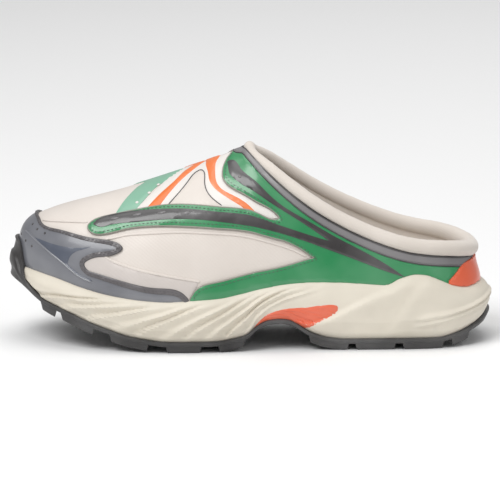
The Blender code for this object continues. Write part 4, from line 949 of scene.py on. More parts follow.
def ring_solid(name, rings, material):
    """A solid from loops of points round the shoe, the first and the last capped from side to side."""
    count = len(rings[0])
    half = count // 2
    faces = row_faces(len(rings), count, False)
    for start in (0, (len(rings) - 1) * count):
        faces.append((start, start + 1, start + count - 1))
        for i in range(1, half - 1):
            faces.append((start + i, start + i + 1, start + count - i - 1, start + count - i))
        faces.append((start + half - 1, start + half, start + half + 1))
    return make_object(name, np.concatenate(rings), faces, material)


def joined(name, pieces):
    """Several objects as one."""
    bpy.ops.object.select_all(action="DESELECT")
    for piece in pieces:
        piece.select_set(True)
    bpy.context.view_layer.objects.active = pieces[0]
    if len(pieces) > 1:
        bpy.ops.object.join()
    pieces[0].name = name
    return pieces[0]


# Materials

def group(name, inputs, outputs):
    """An empty shader group with named sockets, and its two end nodes."""
    made = bpy.data.node_groups.new(name, "ShaderNodeTree")
    for kind, label, value in inputs:
        socket = made.interface.new_socket(label, in_out="INPUT", socket_type="NodeSocket" + kind)
        socket.default_value = value
    for kind, label in outputs:
        made.interface.new_socket(label, in_out="OUTPUT", socket_type="NodeSocket" + kind)
    start = made.nodes.new("NodeGroupInput")
    end = made.nodes.new("NodeGroupOutput")
    return made, start, end


def noise_node(tree, scale, detail, roughness=0.55):
    node = tree.nodes.new("ShaderNodeTexNoise")
    node.inputs["Scale"].default_value = scale
    node.inputs["Detail"].default_value = detail
    node.inputs["Roughness"].default_value = roughness
    return node


def math_node(tree, operation, a, b=None, clamp=False):
    node = tree.nodes.new("ShaderNodeMath")
    node.operation = operation
    node.use_clamp = clamp
    for socket, value in zip(node.inputs, (a, b)):
        if isinstance(value, (int, float)):
            socket.default_value = value
        elif value is not None:
            tree.links.new(value, socket)
    return node.outputs[0]


def range_node(tree, value, low, high, to_low, to_high):
    node = tree.nodes.new("ShaderNodeMapRange")
    tree.links.new(value, node.inputs["Value"])
    for label, number in (("From Min", low), ("From Max", high), ("To Min", to_low), ("To Max", to_high)):
        if isinstance(number, (int, float)):
            node.inputs[label].default_value = number
        else:
            tree.links.new(number, node.inputs[label])
    return node.outputs["Result"]


def mix_colour(tree, factor, a, b):
    node = tree.nodes.new("ShaderNodeMix")
    node.data_type = "RGBA"
    for socket, value in ((node.inputs[0], factor), (node.inputs[6], a), (node.inputs[7], b)):
        if isinstance(value, (int, float, tuple)):
            socket.default_value = value
        else:
            tree.links.new(value, socket)
    return node.outputs[2]


def worn_surface_group():
    """Slow mottling, fine grain and faint soiling, from the piece's own place."""
    made, start, end = group(
        "worn_surface",
        [("Color", "Colour", (0.5, 0.5, 0.5, 1)), ("Color", "Soil", (0.3, 0.28, 0.25, 1)),
         ("Float", "Roughness", 0.5), ("Float", "Mottle", 0.1), ("Float", "Soiling", 0.1),
         ("Float", "Grain scale", 900.0), ("Float", "Roughness spread", 0.08)],
        [("Color", "Colour"), ("Float", "Roughness"), ("Float", "Height")],
    )
    place = made.nodes.new("ShaderNodeTexCoord").outputs["Object"]
    slow = noise_node(made, 22.0, 3.0)
    smudge = noise_node(made, 46.0, 5.0, 0.65)
    grain = noise_node(made, 900.0, 2.0)
    for node in (slow, smudge, grain):
        made.links.new(place, node.inputs["Vector"])
    made.links.new(start.outputs["Grain scale"], grain.inputs["Scale"])
    tone = range_node(made, slow.outputs["Fac"], 0.3, 0.7, 0.0, 1.0)
    darker = mix_colour(made, 0.16, start.outputs["Colour"], (0.0, 0.0, 0.0, 1))
    lighter = mix_colour(made, 0.10, start.outputs["Colour"], (1.0, 1.0, 1.0, 1))
    toned = mix_colour(made, tone, darker, lighter)
    plain = mix_colour(made, start.outputs["Mottle"], start.outputs["Colour"], toned)
    dirty = math_node(made, "MULTIPLY", range_node(made, smudge.outputs["Fac"], 0.58, 0.78, 0.0, 1.0),
                      start.outputs["Soiling"])
    made.links.new(mix_colour(made, dirty, plain, start.outputs["Soil"]), end.inputs["Colour"])
    spread = math_node(made, "MULTIPLY", math_node(made, "SUBTRACT", slow.outputs["Fac"], 0.5),
                       start.outputs["Roughness spread"])
    fine = math_node(made, "MULTIPLY", math_node(made, "SUBTRACT", grain.outputs["Fac"], 0.5),
                     start.outputs["Roughness spread"])
    made.links.new(math_node(made, "ADD", start.outputs["Roughness"], math_node(made, "ADD", spread, fine), True),
                   end.inputs["Roughness"])
    made.links.new(grain.outputs["Fac"], end.inputs["Height"])
    return made


def weave_group():
    """A fine woven cloth: crossed threads as a height, from the piece's own place."""
    made, start, end = group(
        "weave",
        [("Float", "Threads", 1500.0)],
        [("Float", "Height")],
    )
    place = made.nodes.new("ShaderNodeTexCoord").outputs["Object"]
    wobble = noise_node(made, 160.0, 2.0)
    made.links.new(place, wobble.inputs["Vector"])
    split = made.nodes.new("ShaderNodeSeparateXYZ")
    made.links.new(place, split.inputs[0])
    rows = math_node(made, "ADD", split.outputs["Z"], math_node(made, "MULTIPLY", split.outputs["Y"], 0.6))
    waves = []
    for value in (split.outputs["X"], rows):
        bent = math_node(made, "ADD", value, math_node(made, "MULTIPLY", wobble.outputs["Fac"], 0.0006))
        waves.append(math_node(made, "SINE", math_node(made, "MULTIPLY", bent, start.outputs["Threads"])))
    made.links.new(range_node(made, math_node(made, "MULTIPLY", *waves), -1.0, 1.0, 0.0, 1.0),
                   end.inputs["Height"])
    return made


def effect(name):
    """A shared effect, made once."""
    return bpy.data.node_groups.get(name) or {"worn_surface": worn_surface_group, "weave": weave_group}[name]()


def place_group(tree, name, **values):
    node = tree.nodes.new("ShaderNodeGroup")
    node.node_tree = effect(name)
    for key, value in values.items():
        node.inputs[key.replace("_", " ")].default_value = value
    return node


Finish = namedtuple("Finish", "roughness mottle soiling grain bump coat sheen weave")

FINISHES = {
    "cloth": Finish(0.52, 0.50, 0.05, 1500.0, 0.10, 0.10, 0.15, 2300.0),
    "mudguard": Finish(0.50, 0.50, 0.07, 1500.0, 0.10, 0.12, 0.10, 2300.0),
    "saddle": Finish(0.42, 0.25, 0.02, 1200.0, 0.05, 0.20, 0.0, 0.0),
    "lining": Finish(0.85, 0.55, 0.05, 1300.0, 0.22, 0.0, 0.35, 3600.0),
    "foam": Finish(0.58, 0.75, 0.34, 800.0, 0.10, 0.0, 0.0, 0.0),
    "rubber": Finish(0.50, 0.80, 0.30, 700.0, 0.16, 0.0, 0.0, 0.0),
    "green": Finish(0.30, 0.75, 0.03, 500.0, 0.03, 0.45, 0.0, 0.0),
    "patch": Finish(0.38, 0.60, 0.03, 700.0, 0.05, 0.25, 0.0, 0.0),
    "orange": Finish(0.38, 0.60, 0.02, 700.0, 0.05, 0.25, 0.0, 0.0),
    "insert": Finish(0.36, 0.80, 0.04, 500.0, 0.05, 0.30, 0.0, 0.0),
    "cap": Finish(0.34, 0.85, 0.06, 700.0, 0.05, 0.40, 0.0, 0.0),
    # painted shade of the cap's hollow and fold
    "cap_painted_shade": Finish(0.36, 0.70, 0.05, 700.0, 0.05, 0.35, 0.0, 0.0),
    "dark": Finish(0.30, 0.90, 0.10, 600.0, 0.05, 0.35, 0.0, 0.0),
    "band": Finish(0.40, 0.60, 0.04, 900.0, 0.06, 0.25, 0.0, 0.0),
    "border": Finish(0.42, 0.60, 0.05, 700.0, 0.08, 0.20, 0.0, 0.0),
    # edging round the cage, partly a painted shadow under the cage's edge
    "edging_and_shadow": Finish(0.45, 0.40, 0.03, 700.0, 0.05, 0.20, 0.0, 0.0),
    "thread": Finish(0.60, 0.30, 0.0, 2500.0, 0.15, 0.0, 0.2, 0.0),
}

SOILS = {"rubber": (0.16, 0.16, 0.175, 1), "foam": (0.50, 0.46, 0.39, 1), "green": (0.10, 0.42, 0.22, 1)}


def material(name):
    """A piece's material, made once from its finish and the colour in the settings."""
    made = bpy.data.materials.get(name)
    if made:
        return made
    finish = FINISHES[name]
    colour = (*getattr(bpy.context.scene.sneaker_colours, name), 1.0)
    made = bpy.data.materials.new(name)
    made.use_nodes = True
    tree = made.node_tree
    shader = tree.nodes["Principled BSDF"]
    soil = SOILS.get(name, tuple(0.55 * c for c in colour[:3]) + (1.0,))
    worn = place_group(tree, "worn_surface", Colour=colour, Soil=soil, Roughness=finish.roughness,
                       Mottle=finish.mottle, Soiling=finish.soiling, Grain_scale=finish.grain)
    tree.links.new(worn.outputs["Colour"], shader.inputs["Base Color"])
    tree.links.new(worn.outputs["Roughness"], shader.inputs["Roughness"])
    height = worn.outputs["Height"]
    if finish.weave:
        weave = place_group(tree, "weave", Threads=finish.weave)
        height = math_node(tree, "ADD", math_node(tree, "MULTIPLY", height, 0.5), weave.outputs["Height"])
    bump = tree.nodes.new("ShaderNodeBump")
    bump.inputs["Strength"].default_value = finish.bump
    bump.inputs["Distance"].default_value = 0.0004
    tree.links.new(height, bump.inputs["Height"])
    tree.links.new(bump.outputs["Normal"], shader.inputs["Normal"])
    shader.inputs["Coat Weight"].default_value = finish.coat
    shader.inputs["Coat Roughness"].default_value = 0.12
    shader.inputs["Sheen Weight"].default_value = finish.sheen
    shader.inputs["Specular IOR Level"].default_value = 0.45
    return made


# Repeats along paths: stitches, holes and dots

def named_vector(nodes, name):
    node = nodes.new("GeometryNodeInputNamedAttribute")
    node.data_type = "FLOAT_VECTOR"
    node.inputs["Name"].default_value = name
    return node.outputs[0]


def scatter_tree(name, pitch, shape, size, material_made):
    """Geometry nodes that set small shapes along a mesh line, turned along it and out of the shoe."""
    tree = bpy.data.node_groups.new(name, "GeometryNodeTree")
    tree.interface.new_socket("Line", in_out="INPUT", socket_type="NodeSocketGeometry")
    step = tree.interface.new_socket("Pitch", in_out="INPUT", socket_type="NodeSocketFloat")
    long = tree.interface.new_socket("Size", in_out="INPUT", socket_type="NodeSocketVector")
    step.default_value, long.default_value = pitch, size
    tree.interface.new_socket("Shapes", in_out="OUTPUT", socket_type="NodeSocketGeometry")
    nodes, links = tree.nodes, tree.links
    start, end = nodes.new("NodeGroupInput"), nodes.new("NodeGroupOutput")
    if pitch:
        curve = nodes.new("GeometryNodeMeshToCurve")
        spaced = nodes.new("GeometryNodeResampleCurve")
        spaced.mode = "LENGTH"
        links.new(start.outputs["Line"], curve.inputs["Mesh"])
        links.new(curve.outputs["Curve"], spaced.inputs["Curve"])
        links.new(start.outputs["Pitch"], spaced.inputs["Length"])
        along = nodes.new("GeometryNodeInputTangent").outputs[0]
        points = spaced.outputs["Curve"]
    else:
        along = named_vector(nodes, "along")
        points = start.outputs["Line"]
    turn = nodes.new("FunctionNodeAxesToRotation")
    turn.primary_axis, turn.secondary_axis = "X", "Z"
    links.new(along, turn.inputs[0])
    links.new(named_vector(nodes, "out"), turn.inputs[1])
    if shape == "stitch":
        block = nodes.new("GeometryNodeMeshUVSphere")
        block.inputs["Segments"].default_value = 8
        block.inputs["Rings"].default_value = 6
        block.inputs["Radius"].default_value = 0.5
    else:
        block = nodes.new("GeometryNodeMeshCylinder")
        block.inputs["Vertices"].default_value = 14
        block.inputs["Radius"].default_value = 0.5
        block.inputs["Depth"].default_value = 1.0
    scaled = nodes.new("GeometryNodeTransform")
    links.new(block.outputs[0], scaled.inputs["Geometry"])
    links.new(start.outputs["Size"], scaled.inputs["Scale"])
    spread = nodes.new("GeometryNodeInstanceOnPoints")
    links.new(points, spread.inputs["Points"])
    links.new(scaled.outputs[0], spread.inputs["Instance"])
    links.new(turn.outputs[0], spread.inputs["Rotation"])
    real = nodes.new("GeometryNodeRealizeInstances")
    links.new(spread.outputs[0], real.inputs[0])
    paint = nodes.new("GeometryNodeSetMaterial")
    paint.inputs["Material"].default_value = material_made
    links.new(real.outputs[0], paint.inputs["Geometry"])
    links.new(paint.outputs[0], end.inputs["Shapes"])
    return tree


def scattered(name, paths, pitch, size, material_made, shape, offset):
    """Small shapes along paths in v and s, or at single places, as one plain mesh."""
    points, edges, outs, alongs = [], [], [], []
    for spots in paths:
        spots = np.asarray(spots)
        line = skin(spots[:, 0], spots[:, 1], np.full(len(spots), offset))
        out = normal(spots[:, 0], spots[:, 1])
        start = len(points)
        points += [tuple(p) for p in line]
        outs += [tuple(p) for p in out]
        if pitch:
            edges += [(start + i, start + i + 1) for i in range(len(line) - 1)]
        ahead = spots + (LOOK_AHEAD, 0.0)
        alongs += [tuple(p) for p in unit(skin(ahead[:, 0], ahead[:, 1], np.full(len(ahead), offset)) - line)]
    mesh = bpy.data.meshes.new(name + "_line")
    mesh.from_pydata(points, edges, [])
    for key, values in (("out", outs), ("along", alongs)):
        data = mesh.attributes.new(key, "FLOAT_VECTOR", "POINT")
        data.data.foreach_set("vector", np.asarray(values, np.float32).ravel())
    holder = placed(name, mesh)
    modifier = holder.modifiers.new("scatter", "NODES")
    modifier.node_group = scatter_tree(name + "_tree", pitch, shape, size, material_made)
    wanted = {"Size": size, "Pitch": pitch}
    for item in modifier.node_group.interface.items_tree:
        if item.in_out == "INPUT" and item.name in wanted:
            modifier[item.identifier] = wanted[item.name]
    applied(holder)
    holder.data.shade_smooth()
    return holder


def inset_path(loop, distance):
    """A closed loop drawn in by a distance, where it lies far enough from the loop itself."""
    flat = np.asarray(loop) * SPREAD
    ahead, behind = np.roll(flat, -1, axis=0), np.roll(flat, 1, axis=0)
    along = unit(ahead - behind)
    side = np.stack([-along[:, 1], along[:, 0]], axis=-1)
    area = (flat[:, 0] * ahead[:, 1] - ahead[:, 0] * flat[:, 1]).sum()
    moved = flat + side * distance * (1 if area > 0 else -1)
    clear = (near_edge(moved, flat) > 0.93 * distance) & inside_loop(moved, flat)
    return moved / SPREAD, clear


def runs(path, keep, least=4):
    """The unbroken stretches of a closed path that are kept."""
    if keep.all():
        return [np.vstack([path, path[:1]])]
    start = int(np.argmin(keep))
    path, keep = np.roll(path, -start, axis=0), np.roll(keep, -start)
    found, run = [], []
    for p, k in zip(path, keep):
        if k:
            run.append(p)
        elif run:
            found.append(run)
            run = []
    if run:
        found.append(run)
    return [np.array(r) for r in found if len(r) >= least]


# The layers' outlines

def cap_border():
    """The cap's edge from the toe's centre line down the lateral side to the rim."""
    s = np.linspace(0.3, 1.0, 400)
    along = drawn_place(skin(np.zeros(400), s, np.full(400, FILM_LIFT)))[:, 0]
    centre = (0.0, float(np.interp(CAP_CROSSING, along, s)))
    return resampled(np.vstack([centre, traced(TOE_CAP[0])]) * SPREAD, OUTLINE_STEP) / SPREAD


def cap_loop():
    lateral = cap_border()
    low = rim_line(lateral[-1, 0], -lateral[-1, 0], UNDER_RIM)
    return np.vstack([lateral[:-1], low, mirrored(lateral)[1:-1][::-1]])


def cage_loop(side):
    front = cut_at_band(strokes_path(CAGE)[::-1], BAND_WIDTH)[::-1]
    up = heel_seam(0.0, BAND_WIDTH)
    edge = band_line(up[-1, 0], front[0, 0] + 0.5 * OUTLINE_STEP / SPREAD[0], BAND_WIDTH + 0.0001)
    low = rim_line(side * front[-1, 0], side * up[0, 0], UNDER_RIM) * (side, 1)
    return on_side(np.vstack([front[:-1], low, up[1:], edge[1:]]), side)


def heel_loop():
    """The heel piece's outline, from its lateral edge round the back to the medial one."""
    heel = heel_seam(0.0, BAND_TOP)[::-1]
    other = heel * (-1.0, 1.0) + (2.0, 0.0)
    low = rim_line(heel[-1, 0], 2 - heel[-1, 0], UNDER_RIM)
    across = max(2, int(round((other[0, 0] - heel[0, 0]) * SPREAD[0] / OUTLINE_STEP)))
    high = np.linspace(heel[0], other[0], across + 1)[1:-1]
    high[:, 1] = 1 - BAND_TOP / np.interp(side_place(high[:, 0]), REACH_AT, REACH)
    return np.vstack([heel[:-1], low, other[:-1][::-1], high[::-1]])


# Operators

class SNEAKER_OT_outsole(bpy.types.Operator):
    """Make the rubber outsole with its toe bumper and lugs"""

    bl_idname = "sneaker.outsole"
    bl_label = "Outsole"

    def execute(self, context):
        rubber = material("rubber")
        plate = ring_solid("outsole_plate", outsole_rings(), rubber)
        pieces = [plate]
        for side_name, side in SIDES:
            for k, (start, end) in enumerate(LUGS):
                pieces.append(edge_lug(f"lug_{side_name}_{k}", side, start, end, rubber))
        for k, (start, end) in enumerate(CENTRE_LUGS):
            for half in (-0.5, 0.5):
                pieces.append(centre_lug(f"lug_centre_{k}", half, start, end, rubber))
        sole = joined("outsole_rubber", pieces)
        finish_piece(sole, "outsole", "outsole")
        return {"FINISHED"}


class SNEAKER_OT_midsole(bpy.types.Operator):
    """Make the carved foam midsole and the orange arch inserts"""

    bl_idname = "sneaker.midsole"
    bl_label = "Midsole"

    def execute(self, context):
        body = ring_solid("midsole_foam", midsole_rings(), material("foam"))
        finish_piece(body, "midsole", "midsole")
        for side_name, side in SIDES:
            insert = arch_insert("arch_plastic_" + side_name, side)
            finish_piece(insert, "arch_insert", "arch_insert_" + side_name)
        return {"FINISHED"}


class SNEAKER_OT_upper(bpy.types.Operator):
    """Make the cloth upper, its lining and the footbed"""

    bl_idname = "sneaker.upper"
    bl_label = "Upper"

    def execute(self, context):
        finish_piece(upper_shell(), "upper", "upper")
        finish_piece(footbed(), "insole", "insole")
        return {"FINISHED"}


class SNEAKER_OT_collar(bpy.types.Operator):
    """Make the padded roll and the band round the opening"""

    bl_idname = "sneaker.collar"
    bl_label = "Collar"

    def execute(self, context):
        roll = finish_piece(collar_roll(), "collar_roll", "collar_roll")
        finish_piece(collar_band(), "collar_band", "collar_band")
        for name, distance, radius in COLLAR_PIPING:
            ring = resampled(collar_ring(distance, heel_line(distance)) * SPREAD, OUTLINE_STEP) / SPREAD
            piping = bead("collar_piping_" + name, ring, radius, context.scene.sneaker_sizes.film + FILM_LOW,
                          material("dark"))
            finish_piece(piping, "collar_band")
        return {"FINISHED"}


class SNEAKER_OT_toe_cap(bpy.types.Operator):
    """Make the toe cap with its hollow, piping and pinholes. The hollow and the fold along its crease get a darker
    layer and bead of painted shade, and the pinholes are dark discs of painted shade
    """

    bl_idname = "sneaker.toe_cap"
    bl_label = "Toe cap"

    def execute(self, context):
        sizes = context.scene.sneaker_sizes
        top_height = sizes.film + CAP_TOP
        cap = layer("toe_cap_film", cap_loop(), FILM_LOW, top_height, material("cap"), CAP_ROUNDING)
        finish_piece(cap, "toe_cap", "toe_cap")
        # Darker layers in the cap's hollows: painted shade
        for side_name, spots in both_sides(strokes_loop(CAP_SHADE_PATCH)):
            piece = layer("toe_shade_patch_" + side_name, spots, sizes.film + FILM_LOW, sizes.film + SHADE_PATCH_TOP,
                          material("cap_painted_shade"), FINE_ROUNDING)
            finish_piece(piece, "toe_cap")
        border = cap_border()
        full = np.vstack([mirrored(border)[:0:-1], border])
        finish_piece(layer("toe_border", edge_strip(full, BORDER_WIDTH), sizes.film + FILM_LOW,
                           sizes.film + BORDER_TOP, material("border"), BORDER_ROUNDING), "toe_cap")
        finish_piece(bead("toe_piping", full, 0.0005, 0.0009, material("dark")), "toe_cap")
        for name, stroke, radius, height, finish in CAP_BEADS:
            for side_name, spots in both_sides(strokes_path([stroke])):
                finish_piece(bead(f"{name}_{side_name}", spots, radius, height, material(finish)), "toe_cap")
        # Pinholes as dark discs on the cap: painted shade inside the holes
        holes = traced(CAP_HOLES)
        hole = 2 * sizes.pinhole
        finish_piece(scattered("toe_pinhole_shade", [np.vstack([holes, mirrored(holes)])], 0.0, (hole, hole, DISC),
                               material("dark"), "disc", sizes.film + 0.00015), "toe_cap")
        return {"FINISHED"}


class SNEAKER_OT_cage(bpy.types.Operator):
    """Make the green cage, its dark inlays and the heel piece"""

    bl_idname = "sneaker.cage"
    bl_label = "Cage"

    def execute(self, context):
        sizes = context.scene.sneaker_sizes
        cage_top = sizes.film + CAGE_TOP
        inlay_top = cage_top + sizes.inlay
        inlay, front = strokes_loop(INLAY), strokes_path(CAGE)
        for side_name, side in SIDES:
            film = layer("cage_film_" + side_name, cage_loop(side), FILM_LOW + 0.0006, cage_top, material("green"),
                         FILM_ROUNDING)
            finish_piece(film, "cage", "cage_" + side_name)
            # Edging bead along the cage's edge: a margin of the film, its darker grey also a painted shadow under
            # the edge
            finish_piece(bead("cage_edging_" + side_name, on_side(front, side), 0.00055, 0.0009,
                              material("edging_and_shadow")), "cage")
            dark = layer("cage_inlay_" + side_name, on_side(inlay, side), sizes.film + INLAY_LOW, inlay_top,
                         material("dark"), SOFT_ROUNDING)
            finish_piece(dark, "cage")
        heel = layer("heel_film", heel_loop(), FILM_LOW + 0.0007, sizes.film + HEEL_TOP, material("insert"),
                     FILM_ROUNDING)
        finish_piece(heel, "heel_piece", "heel_piece")
        for name, table, size, shape in (
            ("inlay_slots", INLAY_SLOTS, (0.0058, 0.0016, DISC), "disc"),
            ("loop_rivets", RIVET, (0.0020, 0.0020, 0.0010), "stitch"),
        ):
            spots = traced(table)
            finish_piece(scattered(name, [np.vstack([spots, mirrored(spots)])], 0.0, size, material("band"), shape,
                                   inlay_top), "cage")
        return {"FINISHED"}


class SNEAKER_OT_vamp(bpy.types.Operator):
    """Make the white saddle, its stripes and panel, the patch, the mudguard and the welts"""

    bl_idname = "sneaker.vamp"
    bl_label = "Vamp"

    def execute(self, context):
        sizes = context.scene.sneaker_sizes
        thin = sizes.print_layer
        layers = (
            ("saddle", SADDLE, 0.0, 2 * thin, "saddle"),
            ("stripe_front", STRIPE_FRONT, thin, 3.4 * thin, "orange"),
            ("stripe_rear", STRIPE_REAR, thin, 3.4 * thin, "orange"),
            ("vamp_patch", PATCH, 0.0, 2.2 * thin, "patch"),
        )
        for name, strokes, low, high, finish in layers:
            finish_piece(layer(name, over_ridge(strokes), low, high, material(finish), FINE_ROUNDING), "upper")
        for side_name, spots in both_sides(strokes_loop(SADDLE_PANEL, CLOTH_LIFT)):
            finish_piece(layer("saddle_panel_" + side_name, spots, thin, 3 * thin, material("cloth"),
                               FINE_ROUNDING), "upper")
        for side_name, spots in both_sides(strokes_path([PANEL_SEAM], CLOTH_LIFT)):
            finish_piece(bead("seam_panel_" + side_name, spots, 0.00032, 2.6 * thin, material("thread")), "upper")
        guard = strokes_path(MUDGUARD, CLOTH_LIFT)
        for side_name, side in SIDES:
            low = rim_line(side * guard[-1, 0], side * guard[0, 0], 0.0) * (side, 1)
            spots = on_side(np.vstack([guard[:-1], low[:-1]]), side)
            finish_piece(layer("mudguard_" + side_name, spots, 0.0, 2.6 * thin, material("mudguard"),
                               SOFT_ROUNDING), "upper")
        for k, stroke in enumerate(WELTS):
            for side_name, spots in both_sides(strokes_path([stroke], CLOTH_LIFT)):
                finish_piece(bead(f"welt_{k}_{side_name}", spots, 0.0008, 0.0002, material("cloth"), squash=0.8),
                             "upper")
        dots = traced(PATCH_DOTS, CLOTH_LIFT)
        finish_piece(scattered("patch_dots", [np.vstack([dots, mirrored(dots)])], 0.0, (0.0022, 0.0022, 0.0008),
                               material("saddle"), "stitch", 2 * thin), "upper")
        return {"FINISHED"}


class SNEAKER_OT_stitching(bpy.types.Operator):
    """Sew the cap and the cage"""

    bl_idname = "sneaker.stitching"
    bl_label = "Stitching"

    def execute(self, context):
        sizes = context.scene.sneaker_sizes
        stitch = (sizes.stitch, sizes.thread, sizes.thread * 0.7)
        border = cap_border()
        whole = cap_loop()
        cap_runs = []
        for inset in CAP_STITCH_INSETS:
            moved, clear = inset_path(whole, inset)
            clear &= near_edge(moved * SPREAD, np.vstack([border, mirrored(border)]) * SPREAD) < inset * 1.1
            cap_runs += runs(moved, clear)
        finish_piece(scattered("cap_stitches", cap_runs, sizes.stitch_gap, stitch, material("thread"), "stitch",
                               sizes.film + BORDER_TOP), "toe_cap")
        front = strokes_path(CAGE)
        cage_runs = []
        for _, side in SIDES:
            moved, clear = inset_path(cage_loop(side), CAGE_STITCH_INSET)
            clear &= near_edge(moved * SPREAD, on_side(front, side) * SPREAD) < CAGE_STITCH_INSET + 0.0002
            cage_runs += runs(moved, clear)
        finish_piece(scattered("cage_stitches", cage_runs, sizes.stitch_gap, stitch, material("thread"), "stitch",
                               sizes.film + BORDER_TOP), "cage")
        return {"FINISHED"}


class SNEAKER_OT_stage(bpy.types.Operator):
    """Set up the pale floor, the soft lights and the camera"""

    bl_idname = "sneaker.stage"
    bl_label = "Studio"

    def execute(self, context):
        scene = context.scene
        paper = bpy.data.materials.new("paper")
        paper.use_nodes = True
        shader = paper.node_tree.nodes["Principled BSDF"]
        shader.inputs["Base Color"].default_value = PAPER
        shader.inputs["Roughness"].default_value = 0.9
        mesh = bpy.data.meshes.new("backdrop")
        corners = [(x * FLOOR_REACH, y * FLOOR_REACH, 0) for x, y in ((-1, -1), (1, -1), (1, 1), (-1, 1))]
        mesh.from_pydata(corners, [], [(0, 1, 2, 3)])
        mesh.materials.append(paper)
        placed("backdrop", mesh)
        for light in LIGHTS:
            data = bpy.data.lights.new(light.name, "AREA")
            data.shape = "SQUARE"
            data.size = light.size
            data.energy = light.power
            lamp = placed(light.name, data)
            lamp.location = light.place
            lamp.rotation_euler = (LIGHT_AIM - Vector(light.place)).to_track_quat("-Z", "Y").to_euler()
        world = bpy.data.worlds.new("studio")
        world.use_nodes = True
        world.node_tree.nodes["Background"].inputs["Color"].default_value = (1.0, 1.0, 1.0, 1)
        world.node_tree.nodes["Background"].inputs["Strength"].default_value = WORLD_LIGHT
        scene.world = world
        data = bpy.data.cameras.new("camera")
        data.sensor_width = SENSOR
        data.lens = SENSOR * CAMERA_DISTANCE / (PICTURE_SIDE * METRES_PER_PIXEL)
        data.clip_end = 50.0
        camera = placed("camera", data)
        aim = Vector((0.0, 0.0, (DRAWN_FLOOR - PICTURE_SIDE / 2) * METRES_PER_PIXEL / math.cos(DRAWN_TILT)))
        back = Vector((0.0, -math.cos(DRAWN_TILT), math.sin(DRAWN_TILT)))
        camera.location = aim + back * CAMERA_DISTANCE
        camera.rotation_euler = (-back).to_track_quat("-Z", "Y").to_euler()
        scene.camera = camera
        scene.view_settings.view_transform = "Standard"
        return {"FINISHED"}


# Midsole

def midsole_carving(x, f):
    """How far the midsole's side stands out at x and the share f of its height: flames, wing and heel ridges."""
    share = x / LENGTH + 0.5
    phase = share - FLAME_SWEEP * np.clip(f, 0, 1) ** FLAME_CURVE
    starts = np.array(FLAMES)
    i = np.clip(np.searchsorted(starts, phase, side="right") - 1, 0, len(starts) - 2)
    across = np.clip((phase - starts[i]) / (starts[i + 1] - starts[i]), 0, 1)
    wave = np.where(across < 0.78, 1 - across / 0.78, (across - 0.78) / 0.22)
    strong = np.where(i % 2 == 0, 1.0, 0.55)
    inside = smooth((phase - starts[0]) / 0.03) * smooth((starts[-1] - phase) / 0.05)
    fade = smooth(f / 0.22) * smooth((1.0 - f) / 0.20)
    flames = (smooth(wave) - 0.5) * strong * inside * fade * 0.8
    edge = WING_TOP - WING_RUN * (1 - f)
    step_up = smooth((share - edge) / 0.016)
    slope_off = smooth((share - edge - 0.006) / 0.10)
    crease = WING_CREASE - WING_CREASE_RUN * (1 - f)
    fold = smooth((share - crease + 0.012) / 0.012) * (1 - smooth((share - crease) / 0.05))
    wing = (0.85 * step_up - 0.75 * slope_off + 0.35 * fold) * smooth(f / 0.15) * smooth((1.04 - f) / 0.20)
    line_one = 0.30 + 0.34 * smooth((share - 0.82) / 0.20)
    line_two = 0.17 + 0.40 * smooth((share - 0.80) / 0.24)
    heel = np.zeros_like(share)
    for line, height in ((line_one, 0.45), (line_two, 0.40)):
        gap = f - line
        heel += height * np.where(gap > 0, smooth(1 - gap / 0.10), smooth(1 + gap / 0.035)) * \
            smooth((share - 0.835) / 0.03)
    return bpy.context.scene.sneaker_sizes.carving * (flames + wing + heel * smooth((1.0 - f) / 0.2))


def rim_outer(v, s):
    """The outer edge of the lip that cups the upper."""
    return skin(v, s, np.full(np.shape(v), CLEARANCE + RIM_LIP))


def midsole_side(v, f, rim_s, carved=True):
    """The midsole's side at the share f of its height from the bottom edge to the rim."""
    edge = with_height(outline(v), 0.0)
    out = outward(v)
    x = edge[..., 0]
    low, high = base_height(x), rim_height(x) - RIM_SOFTENING
    bulge = np.interp(f, [row[0] for row in SIDE], [row[1] for row in SIDE]) * SIDE_BULGE
    lip_inset = ((edge - rim_outer(v, rim_s)) * out * (1, 1, 0)).sum(axis=-1)
    turned = np.clip((f - SIDE_TURN) / (1 - SIDE_TURN), 0, 1) ** 2
    tuck = height_at(TUCK, BUMPER_TUCK, x)
    inset = (bulge + tuck) * (1 - turned) + np.maximum(lip_inset, 0.0) * turned
    relief = midsole_carving(x, f) if carved else 0.0
    place = edge - out * (inset - relief)[..., None]
    place[..., 2] = low + f * (high - low)
    return place


def midsole_rings():
    """Bottom edge, side, rim, then down the inside of the rim to the edge of the cup's floor."""
    rings = [midsole_side(V, np.full(len(V), f), RIM_S) for f in np.linspace(0, 1, 56)[:-1]]
    outer = rim_outer(V, RIM_S)
    outer[:, 2] = rim_height(outline(V)[:, 0]) - RIM_SOFTENING
    rings.append(outer)
    for share in (0.25, 0.6, 1.0):
        angle = share * math.pi / 2
        soft = skin(V, RIM_S, np.full(len(V), CLEARANCE + RIM_LIP * (1 - share * 0.75)))
        soft[:, 2] = rim_height(outline(V)[:, 0]) - RIM_SOFTENING * (1 - math.sin(angle))
        rings.append(soft)
    for k in range(RIM_ROWS, -1, -1):
        rings.append(skin(V, RIM_S * k / RIM_ROWS, np.full(len(V), CLEARANCE)))
    rings[-1][:, 2] = surface(V, np.zeros_like(V))[:, 2] - CLEARANCE
    return rings


def side_at(x, side):
    """v on one side for places along the shoe."""
    v = np.linspace(0, 1, 1601) if side > 0 else 2 - np.linspace(0, 1, 1601)
    return np.interp(np.asarray(x, float), outline(v)[:, 0], v)


